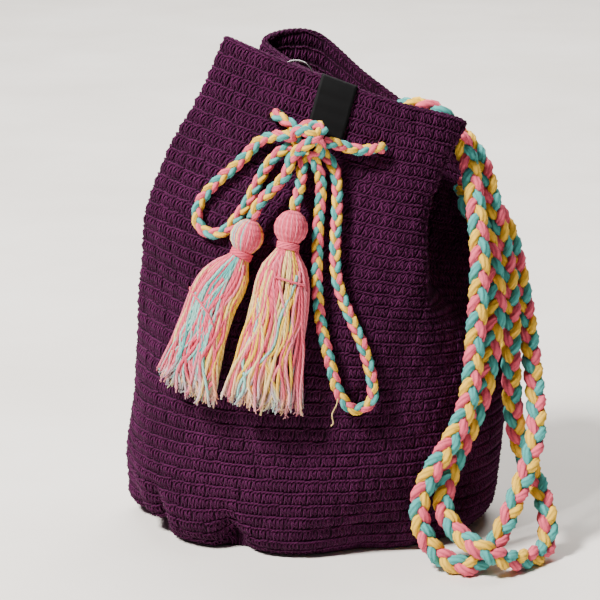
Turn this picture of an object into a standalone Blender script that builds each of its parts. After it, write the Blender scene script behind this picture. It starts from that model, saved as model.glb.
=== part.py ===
"""A crocheted drawstring bag (potli bag), standing on its base.

The frame is in metres: +X to the right of the front panel, +Y to the back, +Z up. The origin is
under the middle of the bag, on the surface that it stands on.
"""

import math

import bpy
import numpy as np
from mathutils import Vector
from mathutils.bvhtree import BVHTree

# Gap between two pieces that touch.
GAP = 0.0003

# Crochet fabric: its thickness, and how far each row stands proud of the groove below it.
WALL = 0.0034
ROW_RIDGE = 0.0011
ROW_COUNT = 36

# Base: the oval that touches the floor, and the belly just above it.
BASE_HALF_WIDTH = 0.106
BASE_HALF_DEPTH = 0.073
BELLY_HALF_WIDTH = 0.1225
BELLY_HALF_DEPTH = 0.0845
BELLY_HEIGHT = 0.038
BELLY_SHIFT = -0.0055
EDGE_HEIGHT = 0.013
EDGE_INSET_WIDTH = 0.004
EDGE_INSET_DEPTH = 0.003
WAIST_HALF_WIDTH = 0.120
WAIST_HALF_DEPTH = 0.084
WAIST_HEIGHT = 0.085

# Creases where the bag's lower edge folds in: angle round the base, depth, half width. The belly
# above keeps a share of them.
BELLY_CREASE_SHARE = 0.35
BASE_CREASES = (
    (198.0, 0.010, 9.0),
    (246.0, 0.004, 11.0),
    (287.0, 0.007, 12.0),
    (30.0, 0.006, 12.0),
    (100.0, 0.007, 12.0),
    (150.0, 0.005, 11.0),
)

# The fabric's fold lines, in order round the bag from the left edge of the front panel. Each has
# the angle at which it meets the round lower part, and the steps to the next fold line.
FOLDS = (
    ("left_edge", 180.0, 5),
    ("front_left", 226.0, 5),
    ("front_right", 270.0, 4),
    ("right_edge", 302.0, 3),
    ("right_tuck_front", 317.0, 3),
    ("right_tuck_tip", 330.0, 3),
    ("right_tuck_back", 343.0, 3),
    ("back_right_edge", 358.0, 4),
    ("back_right", 38.0, 3),
    ("back_middle", 68.0, 3),
    ("back_left", 95.0, 3),
    ("back_left_edge", 130.0, 3),
    ("left_tuck_back", 146.0, 3),
    ("left_tuck_tip", 158.0, 3),
    ("left_tuck_front", 169.0, 3),
)

# Rows of the upper part, where the mouth is drawn in: height at the middle, fall to the right, and
# for each fold line its x, its y and how far it stands above the row's own slope.
UPPER_ROWS = (
    (0.138, 0.12, (
        (-0.1150, -0.004, 0.0), (-0.0620, -0.070, 0.0), (0.0100, -0.080, 0.0), (0.0600, -0.069, 0.0),
        (0.0820, -0.054, 0.0), (0.1000, -0.037, 0.0), (0.1150, -0.018, 0.0), (0.1245, 0.004, 0.0),
        (0.1000, 0.053, 0.0), (0.0560, 0.075, 0.0), (-0.0100, 0.083, 0.0), (-0.0880, 0.060, 0.0),
        (-0.1010, 0.044, 0.0), (-0.1090, 0.029, 0.0), (-0.1135, 0.013, 0.0),
    )),
    (0.163, 0.16, (
        (-0.1130, -0.007, 0.0), (-0.0555, -0.067, 0.0), (0.0180, -0.075, 0.0), (0.0630, -0.064, 0.0),
        (0.0765, -0.049, 0.0), (0.0860, -0.031, 0.0), (0.1060, -0.013, 0.0), (0.1265, 0.008, 0.0),
        (0.0970, 0.056, 0.0), (0.0520, 0.075, 0.0), (-0.0090, 0.081, 0.0), (-0.0850, 0.059, 0.0),
        (-0.0940, 0.043, 0.0), (-0.0970, 0.027, 0.0), (-0.1055, 0.010, 0.0),
    )),
    (0.188, 0.20, (
        (-0.1100, -0.009, 0.0), (-0.0480, -0.063, 0.0), (0.0260, -0.069, 0.0), (0.0640, -0.057, 0.0),
        (0.0620, -0.041, 0.0), (0.0600, -0.022, 0.0), (0.0890, -0.007, 0.0), (0.1275, 0.012, 0.0),
        (0.0930, 0.058, 0.0), (0.0480, 0.074, 0.0), (-0.0080, 0.078, 0.0), (-0.0820, 0.058, 0.0),
        (-0.0840, 0.040, 0.0), (-0.0780, 0.022, 0.0), (-0.0960, 0.006, 0.0),
    )),
    (0.229, 0.25, (
        (-0.0935, -0.012, 0.0), (-0.0350, -0.051, 0.0), (0.0370, -0.055, 0.0), (0.0730, -0.044, 0.0),
        (0.0630, -0.027, -0.006), (0.0500, -0.009, -0.010), (0.0790, 0.006, -0.011), (0.1245, 0.019, -0.012),
        (0.0820, 0.054, -0.006), (0.0420, 0.063, -0.002), (-0.0060, 0.067, 0.002), (-0.0650, 0.051, 0.0),
        (-0.0520, 0.031, -0.003), (-0.0340, 0.015, -0.004), (-0.0680, 0.000, -0.002),
    )),
    (0.263, 0.30, (
        (-0.0750, -0.014, 0.0), (-0.0230, -0.040, 0.0), (0.0430, -0.043, 0.0), (0.0830, -0.029, 0.0),
        (0.0660, -0.014, -0.013), (0.0470, -0.001, -0.018), (0.0720, 0.012, -0.020), (0.1180, 0.025, -0.026),
        (0.0680, 0.046, -0.012), (0.0340, 0.052, -0.003), (-0.0040, 0.056, 0.006), (-0.0470, 0.042, -0.002),
        (-0.0270, 0.024, -0.006), (-0.0070, 0.010, -0.005), (-0.0450, -0.003, -0.003),
    )),
    (0.2990, 0.357, (
        (-0.0600, -0.014, 0.0), (-0.0160, -0.030, 0.0), (0.0440, -0.032, 0.0), (0.0910, -0.016, 0.0),
        (0.0700, -0.004, -0.018), (0.0480, 0.006, -0.024), (0.0680, 0.017, -0.026), (0.1010, 0.029, -0.033),
        (0.0620, 0.046, -0.016), (0.0300, 0.053, -0.004), (-0.0040, 0.058, 0.0105), (-0.0370, 0.042, -0.003),
        (-0.0180, 0.025, -0.009), (0.0000, 0.011, -0.008), (-0.0320, -0.002, -0.004),
    )),
)

# Eyelets: the row that they lie in, counted down from the rim, and their places across the front.
EYELET_ROW_FROM_RIM = 4
EYELET_LEFT_X = -0.0310
EYELET_RIGHT_X = 0.0375
EYELET_WIDTH = 0.0105

# How far the rim's edge is rounded upwards.
RIM_CROWN = 0.00085

# The fabric's inner face is plain, with a ring of points only at every few rings of the outer one.
INNER_RING_EVERY = 6

# Woven label, folded over the rim: where its middle meets the rim, the directions along the rim,
# down the front and out of the front, and the lengths of its two legs.
LABEL_WIDTH = 0.0235
LABEL_THICKNESS = 0.0008
LABEL_RIM_X = 0.0106
LABEL_ALONG = (0.942, -0.010, -0.336)
LABEL_DOWN = (-0.270, -0.385, -0.883)
LABEL_OUT = (-0.020, -0.935, 0.354)
LABEL_FRONT_LEG = 0.037
LABEL_BACK_LEG = 0.012
LABEL_FOLD_START = 0.0016
LABEL_FOLD_SQUARENESS = 0.6

# Metal ring, and the yarn loop that holds it to the inside of the front panel. The hinge is the
# middle of the wire where the loop holds it.
RING_HINGE = (-0.0160, -0.0289, 0.2868)
RING_LEAN = 21.0
RING_RADIUS = 0.0109
RING_WIRE_RADIUS = 0.0011
LOOP_YARN_RADIUS = 0.0010
LOOP_CLEARANCE = 0.00035
LOOP_RADIUS = RING_WIRE_RADIUS + LOOP_YARN_RADIUS + LOOP_CLEARANCE
LOOP_LEG = 0.0017

# Drawstring braid: the routes of its stretches, from the bow knot outwards.
DRAWSTRING_DIAMETER = 0.0068
MOUTH_RUN = (
    (-0.0166, -0.0488, 0.2704),
    (-0.0191, -0.0479, 0.2727),
    (-0.0286, -0.0406, 0.2772),
    (-0.0275, -0.0352, 0.2756),
    (-0.0260, -0.0287, 0.2732),
    (-0.0295, -0.0200, 0.2655),
    (-0.0250, -0.0100, 0.2575),
    (-0.0130, -0.0040, 0.2540),
    (-0.0020, 0.0010, 0.2535),
    (0.0030, 0.0120, 0.2535),
    (0.0010, 0.0260, 0.2545),
    (0.0025, 0.0390, 0.2555),
    (0.0130, 0.0455, 0.2550),
    (0.0250, 0.0395, 0.2540),
    (0.0325, 0.0260, 0.2530),
    (0.0360, 0.0080, 0.2520),
    (0.0370, -0.0100, 0.2505),
    (0.0360, -0.0240, 0.2508),
    (0.0356, -0.0337, 0.2534),
    (0.0368, -0.0403, 0.2556),
    (0.0363, -0.0459, 0.2575),
    (0.0239, -0.0508, 0.2572),
    (0.0122, -0.0527, 0.2602),
    (0.0052, -0.0565, 0.2631),
    (0.0017, -0.0564, 0.2635),
)
BOW_LEFT = (
    (-0.0192, -0.0552, 0.2666),
    (-0.0227, -0.0550, 0.2672),
    (-0.0293, -0.0509, 0.2660),
    (-0.0384, -0.0465, 0.2617),
    (-0.0462, -0.0473, 0.2537),
    (-0.0540, -0.0476, 0.2456),
    (-0.0626, -0.0466, 0.2384),
    (-0.0702, -0.0453, 0.2302),
    (-0.0763, -0.0450, 0.2208),
    (-0.0766, -0.0487, 0.2106),
    (-0.0694, -0.0553, 0.2057),
    (-0.0595, -0.0593, 0.2085),
    (-0.0520, -0.0593, 0.2169),
    (-0.0457, -0.0582, 0.2261),
    (-0.0405, -0.0564, 0.2359),
    (-0.0351, -0.0541, 0.2455),
    (-0.0283, -0.0532, 0.2544),
    (-0.0221, -0.0530, 0.2587),
    (-0.0188, -0.0526, 0.2599),
)
BOW_RIGHT = (
    (-0.0054, -0.0594, 0.2550),
    (-0.0043, -0.0606, 0.2518),
    (-0.0011, -0.0602, 0.2423),
    (-0.0009, -0.0622, 0.2290),
    (-0.0022, -0.0661, 0.2161),
    (-0.0027, -0.0713, 0.2036),
    (-0.0031, -0.0753, 0.1907),
    (-0.0030, -0.0778, 0.1774),
    (-0.0019, -0.0802, 0.1641),
    (0.0002, -0.0834, 0.1511),
    (0.0033, -0.0857, 0.1381),
    (0.0066, -0.0869, 0.1251),
    (0.0107, -0.0875, 0.1122),
    (0.0191, -0.0877, 0.1021),
    (0.0302, -0.0855, 0.1059),
    (0.0308, -0.0843, 0.1192),
    (0.0279, -0.0838, 0.1324),
    (0.0237, -0.0830, 0.1452),
    (0.0181, -0.0812, 0.1575),
    (0.0129, -0.0785, 0.1697),
    (0.0091, -0.0765, 0.1825),
    (0.0080, -0.0729, 0.1955),
    (0.0083, -0.0682, 0.2082),
    (0.0090, -0.0640, 0.2211),
    (0.0092, -0.0591, 0.2337),
    (0.0075, -0.0554, 0.2465),
    (0.0022, -0.0545, 0.2546),
    (-0.0005, -0.0537, 0.2568),
)
TAIL_LEFT = (
    (-0.0159, -0.0586, 0.2572),
    (-0.0183, -0.0596, 0.2547),
    (-0.0196, -0.0606, 0.2515),
    (-0.0219, -0.0621, 0.2450),
    (-0.0261, -0.0641, 0.2398),
    (-0.0312, -0.0663, 0.2353),
    (-0.0361, -0.0681, 0.2306),
    (-0.0402, -0.0696, 0.2250),
    (-0.0426, -0.0706, 0.2185),
)
TAIL_RIGHT = (
    (-0.0111, -0.0550, 0.2531),
    (-0.0119, -0.0562, 0.2498),
    (-0.0126, -0.0594, 0.2426),
    (-0.0133, -0.0624, 0.2378),
    (-0.0144, -0.0665, 0.2339),
    (-0.0160, -0.0703, 0.2299),
    (-0.0172, -0.0722, 0.2247),
)

# Bow knot: its middle, its half sizes (along X, up the fabric, out of it) and its wraps.
KNOT_CENTRE = (-0.0088, -0.0536, 0.2641)
KNOT_HALF = (0.0102, 0.0108, 0.0080)
KNOT_UP = (0.0, 0.340, 0.940)
KNOT_OUT = (0.0, -0.940, 0.340)
KNOT_WRAPS = 3
KNOT_GROOVE = 0.0006

# Tassels: the hank's outline as distance from the top, half width and half depth. The end is cut
# straight, with threads up to TASSEL_JAG shorter.
TASSEL_PROFILE = (
    (0.0008, 0.0040, 0.0040),
    (0.0030, 0.0072, 0.0070),
    (0.0065, 0.0097, 0.0094),
    (0.0105, 0.0106, 0.0102),
    (0.0145, 0.0098, 0.0094),
    (0.0180, 0.0072, 0.0070),
    (0.0200, 0.0052, 0.0052),
    (0.0240, 0.0052, 0.0052),
    (0.0265, 0.0084, 0.0070),
    (0.0300, 0.0118, 0.0082),
    (0.0350, 0.0150, 0.0088),
    (0.0430, 0.0174, 0.0090),
    (0.0560, 0.0182, 0.0090),
    (0.0720, 0.0190, 0.0089),
    (0.0860, 0.0202, 0.0088),
    (0.0990, 0.0218, 0.0088),
    (0.1120, 0.0240, 0.0088),
)
TASSEL_FLUTES = 18
TASSEL_HEAD_END = 0.0240
HEAD_FLUTE = 0.0003
SKIRT_FLUTE = 0.0008
TASSEL_JAG = 0.0035

# Each tassel's middle line, with the direction that its front faces.
TASSEL_LEFT = (
    (-0.0428, -0.0707, 0.2180, -0.26, -0.90, 0.34),
    (-0.0459, -0.0722, 0.2080, -0.28, -0.92, 0.29),
    (-0.0489, -0.0737, 0.1982, -0.31, -0.91, 0.26),
    (-0.0555, -0.0755, 0.1864, -0.39, -0.89, 0.23),
    (-0.0653, -0.0750, 0.1706, -0.46, -0.86, 0.20),
    (-0.0730, -0.0743, 0.1478, -0.56, -0.82, 0.11),
    (-0.0841, -0.0707, 0.1117, -0.58, -0.81, 0.06),
)
TASSEL_RIGHT = (
    (-0.0173, -0.0724, 0.2242, -0.04, -0.95, 0.32),
    (-0.0190, -0.0750, 0.2141, -0.04, -0.95, 0.31),
    (-0.0205, -0.0773, 0.2052, -0.04, -0.96, 0.29),
    (-0.0235, -0.0824, 0.1865, -0.06, -0.98, 0.20),
    (-0.0259, -0.0869, 0.1648, -0.06, -0.97, 0.18),
    (-0.0312, -0.0899, 0.1397, -0.10, -0.99, 0.12),
    (-0.0368, -0.0903, 0.1050, -0.17, -0.98, 0.06),
)
LEFT_LENGTH = 0.113
LEFT_SPREAD = 0.93
RIGHT_LENGTH = 0.119
RIGHT_SPREAD = 1.0

# Neck binding: turns of yarn round each tassel's neck, between these distances from the top.
BINDING_START = 0.0200
BINDING_END = 0.0230
BINDING_INNER = 0.0060
BINDING_THICK = 0.0013
BINDING_TURNS = 3

# Loose yarn across each skirt: distance from the top, and angle round the hank from its side.
LOOSE_YARN_RADIUS = 0.0007
LOOSE_LEFT = ((0.0556, 16.0), (0.0560, 38.0), (0.0573, 73.0), (0.0625, 107.0), (0.0673, 122.0))
LOOSE_RIGHT = ((0.0408, 76.0), (0.0425, 105.0), (0.0442, 139.0))

# Shoulder braids.
STRAP_DIAMETER = 0.0125
STRAP_FRONT = (
    (0.0400, 0.0403, 0.2500),
    (0.0469, 0.0273, 0.2634),
    (0.0569, 0.0119, 0.2712),
    (0.0734, 0.0018, 0.2695),
    (0.0866, -0.0016, 0.2553),
    (0.0936, -0.0070, 0.2375),
    (0.0961, -0.0184, 0.2212),
    (0.0980, -0.0297, 0.2047),
    (0.0989, -0.0392, 0.1871),
    (0.0983, -0.0469, 0.1685),
    (0.0967, -0.0538, 0.1497),
    (0.0951, -0.0600, 0.1307),
    (0.0931, -0.0659, 0.1117),
    (0.0883, -0.0740, 0.0940),
    (0.0795, -0.0828, 0.0783),
    (0.0687, -0.0892, 0.0627),
    (0.0610, -0.0926, 0.0446),
    (0.0628, -0.0972, 0.0254),
    (0.0743, -0.1008, 0.0099),
    (0.0917, -0.1071, 0.0065),
    (0.1055, -0.0944, 0.0124),
    (0.1154, -0.0862, 0.0277),
    (0.1233, -0.0763, 0.0433),
    (0.1306, -0.0657, 0.0587),
    (0.1356, -0.0540, 0.0742),
    (0.1366, -0.0412, 0.0896),
    (0.1356, -0.0289, 0.1054),
    (0.1338, -0.0184, 0.1224),
    (0.1314, -0.0105, 0.1407),
    (0.1279, -0.0048, 0.1596),
    (0.1239, 0.0011, 0.1783),
    (0.1175, 0.0079, 0.1960),
    (0.1055, 0.0123, 0.2114),
    (0.0880, 0.0093, 0.2200),
)
STRAP_BACK = (
    (0.0800, 0.0008, 0.2050),
    (0.0952, -0.0095, 0.1997),
    (0.1058, -0.0199, 0.1881),
    (0.1090, -0.0287, 0.1715),
    (0.1104, -0.0349, 0.1535),
    (0.1081, -0.0422, 0.1360),
    (0.1050, -0.0498, 0.1187),
    (0.1009, -0.0572, 0.1015),
    (0.0939, -0.0642, 0.0852),
    (0.0859, -0.0717, 0.0695),
    (0.0789, -0.0800, 0.0538),
    (0.0759, -0.0898, 0.0377),
    (0.0849, -0.1002, 0.0250),
    (0.0985, -0.1120, 0.0193),
    (0.1140, -0.1069, 0.0105),
    (0.1281, -0.0949, 0.0063),
    (0.1406, -0.0813, 0.0080),
    (0.1425, -0.0714, 0.0256),
    (0.1386, -0.0584, 0.0390),
    (0.1313, -0.0482, 0.0534),
    (0.1249, -0.0429, 0.0706),
    (0.1220, -0.0388, 0.0890),
    (0.1211, -0.0343, 0.1076),
    (0.1208, -0.0292, 0.1260),
    (0.1208, -0.0233, 0.1442),
    (0.1195, -0.0172, 0.1623),
    (0.1169, -0.0105, 0.1800),
    (0.1125, -0.0066, 0.1982),
    (0.1078, -0.0032, 0.2164),
    (0.1031, 0.0046, 0.2332),
    (0.0940, 0.0130, 0.2476),
    (0.0801, 0.0200, 0.2585),
    (0.0653, 0.0301, 0.2569),
    (0.0600, 0.0365, 0.2400),
)


def smooth_through(params, points, samples, closed=False):
    """Points at samples on a smooth curve that passes through points at params."""
    params = np.asarray(params, float)
    points = np.asarray(points, float)
    if closed:
        length = params[-1]
        points = points[:-1]
        before = np.vstack([points[-1:], points, points[:2]])
        knots = np.concatenate([[params[-2] - length], params, [params[1] + length]])
    else:
        before = np.vstack([2 * points[0] - points[1], points, 2 * points[-1] - points[-2]])
        knots = np.concatenate([[2 * params[0] - params[1]], params, [2 * params[-1] - params[-2]]])
    result = []
    for sample in samples:
        span = int(np.clip(np.searchsorted(params, sample, side="right") - 1, 0, len(params) - 2)) + 1
        step = knots[span + 1] - knots[span]
        t = (sample - knots[span]) / step
        start = before[span]
        end = before[span + 1]
        slope_in = (before[span + 1] - before[span - 1]) / (knots[span + 1] - knots[span - 1])
        slope_out = (before[span + 2] - before[span]) / (knots[span + 2] - knots[span])
        result.append(
            (2 * t**3 - 3 * t**2 + 1) * start
            + (t**3 - 2 * t**2 + t) * step * slope_in
            + (3 * t**2 - 2 * t**3) * end
            + (t**3 - t**2) * step * slope_out
        )
    return np.array(result)


def crease_at(angle):
    """How far the lower edge folds in at an angle round the base, in degrees."""
    depth = 0.0
    for centre, deep, half in BASE_CREASES:
        away = abs((angle - centre + 180.0) % 360.0 - 180.0)
        depth += deep * math.exp(-((away / half) ** 2))
    return depth


def fold_angles():
    """The angles of all points round the lower part, with the steps between fold lines shared out evenly."""
    angles = []
    for index, (_, angle, steps) in enumerate(FOLDS):
        following = FOLDS[(index + 1) % len(FOLDS)][1]
        turn = (following - angle) % 360.0
        angles += [angle + turn * step / steps for step in range(steps)]
    return angles


def round_row(height, half_width, half_depth, crease_share, shift=0.0):
    """A row of the round lower part, an oval with the creases of the lower edge."""
    row = []
    for angle in fold_angles():
        inward = crease_share * crease_at(angle)
        turn = math.radians(angle)
        x = shift + (half_width - inward) * math.cos(turn)
        y = (half_depth - inward) * math.sin(turn)
        row.append((x, y, height))
    return np.array(row)


def drawn_in_row(height, fall, outline):
    """A row of the upper part: a smooth closed curve through the fold lines."""
    points = np.array(outline + outline[:1])
    lengths = np.linalg.norm(np.diff(points[:, :2], axis=0), axis=1)
    params = np.concatenate([[0.0], np.cumsum(lengths)])
    samples = []
    for index, (_, _, steps) in enumerate(FOLDS):
        samples += [params[index] + lengths[index] * step / steps for step in range(steps)]
    curve = smooth_through(params, points, samples, closed=True)
    return np.column_stack([curve[:, 0], curve[:, 1], height - fall * curve[:, 0] + curve[:, 2]])


def bag_grid():
    """The fabric's outer face as rings of points from the base to the rim, without its ridges."""
    rows = [
        round_row(0.0, BASE_HALF_WIDTH, BASE_HALF_DEPTH, 1.0, BELLY_SHIFT),
        round_row(EDGE_HEIGHT, BELLY_HALF_WIDTH - EDGE_INSET_WIDTH, BELLY_HALF_DEPTH - EDGE_INSET_DEPTH,
                  1.0, BELLY_SHIFT),
        round_row(BELLY_HEIGHT, BELLY_HALF_WIDTH, BELLY_HALF_DEPTH, BELLY_CREASE_SHARE, BELLY_SHIFT),
        round_row(WAIST_HEIGHT, WAIST_HALF_WIDTH, WAIST_HALF_DEPTH, 0.0),
    ]
    rows += [drawn_in_row(*row) for row in UPPER_ROWS]
    rows = np.array(rows)
    lengths = np.linalg.norm(np.diff(rows, axis=0), axis=2).mean(axis=1)
    params = np.concatenate([[0.0], np.cumsum(lengths)])
    samples = np.linspace(0.0, params[-1], 2 * ROW_COUNT + 1)
    columns = [smooth_through(params, rows[:, column], samples) for column in range(rows.shape[1])]
    grid = np.array(columns).transpose(1, 0, 2)
    for ring, column in eyelet_cells(grid):
        for level in range(ring, ring + 3):
            middle = (grid[level, column] + grid[level, column + 1]) / 2
            for side in (column, column + 1):
                away = grid[level, side] - middle
                grid[level, side] = middle + away * EYELET_WIDTH / (2 * np.linalg.norm(away))
    outer = ridged(grid)
    grid[:, :, :2] -= (outer.max(axis=(0, 1)) + outer.min(axis=(0, 1)))[:2] / 2
    return grid


def grid_normals(grid):
    """Outward normals of a grid of rings."""
    along = np.roll(grid, -1, axis=1) - np.roll(grid, 1, axis=1)
    upward = np.gradient(grid, axis=0)
    normals = np.cross(along, upward)
    return normals / np.linalg.norm(normals, axis=2, keepdims=True)


def ridged(grid):
    """The fabric's outer face with its rows standing proud."""
    outer = grid.copy()
    normals = grid_normals(grid)
    for ring in range(1, grid.shape[0] - 1, 2):
        outer[ring] += ROW_RIDGE * normals[ring]
    outer[0, :, 2] = 0.0
    return outer


def material(name, colour, roughness, metallic=0.0):
    """A Principled BSDF material."""
    made = bpy.data.materials.new(name)
    made.use_nodes = True
    shader = made.node_tree.nodes["Principled BSDF"]
    shader.inputs["Base Color"].default_value = (*colour, 1.0)
    shader.inputs["Roughness"].default_value = roughness
    shader.inputs["Metallic"].default_value = metallic
    made.diffuse_color = (*colour, 1.0)
    return made


def mesh_object(name, points, faces, finish):
    """A mesh object at the origin, from points and faces."""
    corners = np.array([tuple(point) for point in points])
    volume = 0.0
    for face in faces:
        for index in range(1, len(face) - 1):
            volume += np.linalg.det(corners[[face[0], face[index], face[index + 1]]])
    if volume < 0.0:
        faces = [list(reversed(face)) for face in faces]
    mesh = bpy.data.meshes.new(name)
    mesh.from_pydata([tuple(point) for point in corners], [], faces)
    mesh.update()
    made = bpy.data.objects.new(name, mesh)
    made.data.materials.append(finish)
    bpy.context.scene.collection.objects.link(made)
    return made


def eyelet_cells(grid):
    """The ring and the column of each eyelet."""
    ring = 2 * (ROW_COUNT - EYELET_ROW_FROM_RIM)
    front = range(0, sum(steps for _, _, steps in FOLDS[:3]))
    cells = []
    for place in (EYELET_LEFT_X, EYELET_RIGHT_X):
        away = [abs((grid[ring, column, 0] + grid[ring, column + 1, 0]) / 2 - place) for column in front]
        cells.append((ring, int(np.argmin(away))))
    return cells


def bag_body(finish):
    """The crocheted bag: base and wall in one piece of fabric, open at the top, with two eyelets."""
    grid = bag_grid()
    normals = grid_normals(grid)
    last = grid.shape[0] - 1
    around = grid.shape[1]
    outer = ridged(grid)
    cells = eyelet_cells(grid)
    inner_rings = sorted({2, 4, last} | set(range(INNER_RING_EVERY, last, INNER_RING_EVERY))
                         | {ring for ring, _ in cells} | {ring + 2 for ring, _ in cells})
    points = [tuple(point) for ring in outer for point in ring]
    inner_start = len(points)
    middle = grid[0].mean(axis=0)
    shrink = np.array([1 - WALL / BASE_HALF_WIDTH, 1 - WALL / BASE_HALF_DEPTH, 0.0])
    floor_ring = middle + (grid[0] - middle) * shrink
    floor_ring[:, 2] = WALL
    points += [tuple(point) for point in floor_ring]
    for ring in inner_rings:
        points += [tuple(point) for point in grid[ring] - WALL * normals[ring]]
    rim_start = len(points)
    crown = grid[last] - 0.5 * WALL * normals[last]
    crown[:, 2] += RIM_CROWN
    points += [tuple(point) for point in crown]

    def outer_at(ring, column):
        return ring * around + column % around

    def inner_at(index, column):
        return inner_start + index * around + column % around

    faces = [[outer_at(0, column) for column in reversed(range(around))]]
    faces.append([inner_at(0, column) for column in range(around)])
    for ring in range(last):
        for column in range(around):
            if any(column == hole and cell <= ring < cell + 2 for cell, hole in cells):
                continue
            faces.append([outer_at(ring, column), outer_at(ring, column + 1),
                          outer_at(ring + 1, column + 1), outer_at(ring + 1, column)])
    levels = [0] + inner_rings
    for index in range(len(levels) - 1):
        for column in range(around):
            if (levels[index], column) in cells:
                continue
            faces.append([inner_at(index, column + 1), inner_at(index, column),
                          inner_at(index + 1, column), inner_at(index + 1, column + 1)])
    for column in range(around):
        following = (column + 1) % around
        faces.append([outer_at(last, column), outer_at(last, following), rim_start + following, rim_start + column])
        faces.append([rim_start + column, rim_start + following,
                      inner_at(len(inner_rings), following), inner_at(len(inner_rings), column)])
    for ring, column in cells:
        low = levels.index(ring)
        faces.append([outer_at(ring, column), outer_at(ring, column + 1),
                      inner_at(low, column + 1), inner_at(low, column)])
        faces.append([outer_at(ring + 2, column + 1), outer_at(ring + 2, column),
                      inner_at(low + 1, column), inner_at(low + 1, column + 1)])
        faces.append([outer_at(ring + 2, column), outer_at(ring + 1, column), outer_at(ring, column),
                      inner_at(low, column), inner_at(low + 1, column)])
        faces.append([outer_at(ring, column + 1), outer_at(ring + 1, column + 1), outer_at(ring + 2, column + 1),
                      inner_at(low + 1, column + 1), inner_at(low, column + 1)])
    return mesh_object("bag_body", points, faces, finish)


def unit(vector):
    """A vector of length 1."""
    vector = np.asarray(vector, float)
    return vector / np.linalg.norm(vector)


def route_curve(route, step, end):
    """Evenly spaced points on the smooth curve through a route, with one more near each end."""
    route = np.array(route)
    lengths = np.linalg.norm(np.diff(route, axis=0), axis=1)
    params = np.concatenate([[0.0], np.cumsum(lengths)])
    count = max(3, round(params[-1] / step) + 1)
    samples = np.linspace(0.0, params[-1], count)
    samples = np.concatenate([[0.0, end], samples[1:-1], [params[-1] - end, params[-1]]])
    return smooth_through(params, route, samples)


def cord(name, route, diameter, step, sides, finish):
    """A braid, as a plain round tube along its route."""
    line = bpy.data.curves.new(name, "CURVE")
    line.dimensions = "3D"
    line.bevel_depth = diameter / 2
    line.bevel_resolution = sides // 2 - 2
    line.use_fill_caps = True
    points = route_curve(route, step * diameter, diameter / 2)
    spline = line.splines.new("POLY")
    spline.points.add(len(points) - 1)
    for target, point in zip(spline.points, points):
        target.co = (*point, 1.0)
    made = bpy.data.objects.new(name, line)
    line.materials.append(finish)
    bpy.context.scene.collection.objects.link(made)
    return made


def rings_mesh(name, rings, first, last, finish):
    """A closed mesh from rings of points, closed by a fan at each end."""
    around = len(rings[0])
    points = [point for ring in rings for point in ring] + [first, last]
    start = len(points) - 2
    end = len(points) - 1
    faces = []
    for level in range(len(rings) - 1):
        for index in range(around):
            following = (index + 1) % around
            faces.append([level * around + index, level * around + following,
                          (level + 1) * around + following, (level + 1) * around + index])
    top = (len(rings) - 1) * around
    for index in range(around):
        following = (index + 1) % around
        faces.append([start, following, index])
        faces.append([end, top + index, top + following])
    return mesh_object(name, points, faces, finish)


def loop_mesh(name, rings, finish):
    """A closed mesh from a closed round of rings."""
    around = len(rings[0])
    points = [point for ring in rings for point in ring]
    faces = []
    for level in range(len(rings)):
        above = (level + 1) % len(rings)
        for index in range(around):
            following = (index + 1) % around
            faces.append([level * around + index, level * around + following,
                          above * around + following, above * around + index])
    return mesh_object(name, points, faces, finish)


class Seat:
    """Finds the bag's fabric along a line, to lay other pieces on it."""

    def __init__(self, body):
        corners = [tuple(vertex.co) for vertex in body.data.vertices]
        self.tree = BVHTree.FromPolygons(corners, [tuple(face.vertices) for face in body.data.polygons])

    def height(self, point, out, reach=0.02):
        """How far the fabric stands out at a point, measured along out."""
        out = Vector(unit(out))
        start = Vector(point) + out * reach
        hit = self.tree.ray_cast(start, -out)[0]
        if hit is None:
            return None
        return reach - (start - hit).length

    def crest(self, point, out, down, across, reach=0.004):
        """The height of the fabric's highest part near a point."""
        heights = []
        for low in (-1.0, -0.5, 0.0, 0.5, 1.0):
            for aside in (-0.7, 0.0, 0.7):
                found = self.height(np.asarray(point) + (unit(down) * low + unit(across) * aside) * reach, out)
                if found is not None:
                    heights.append(found)
        return max(heights)


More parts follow.
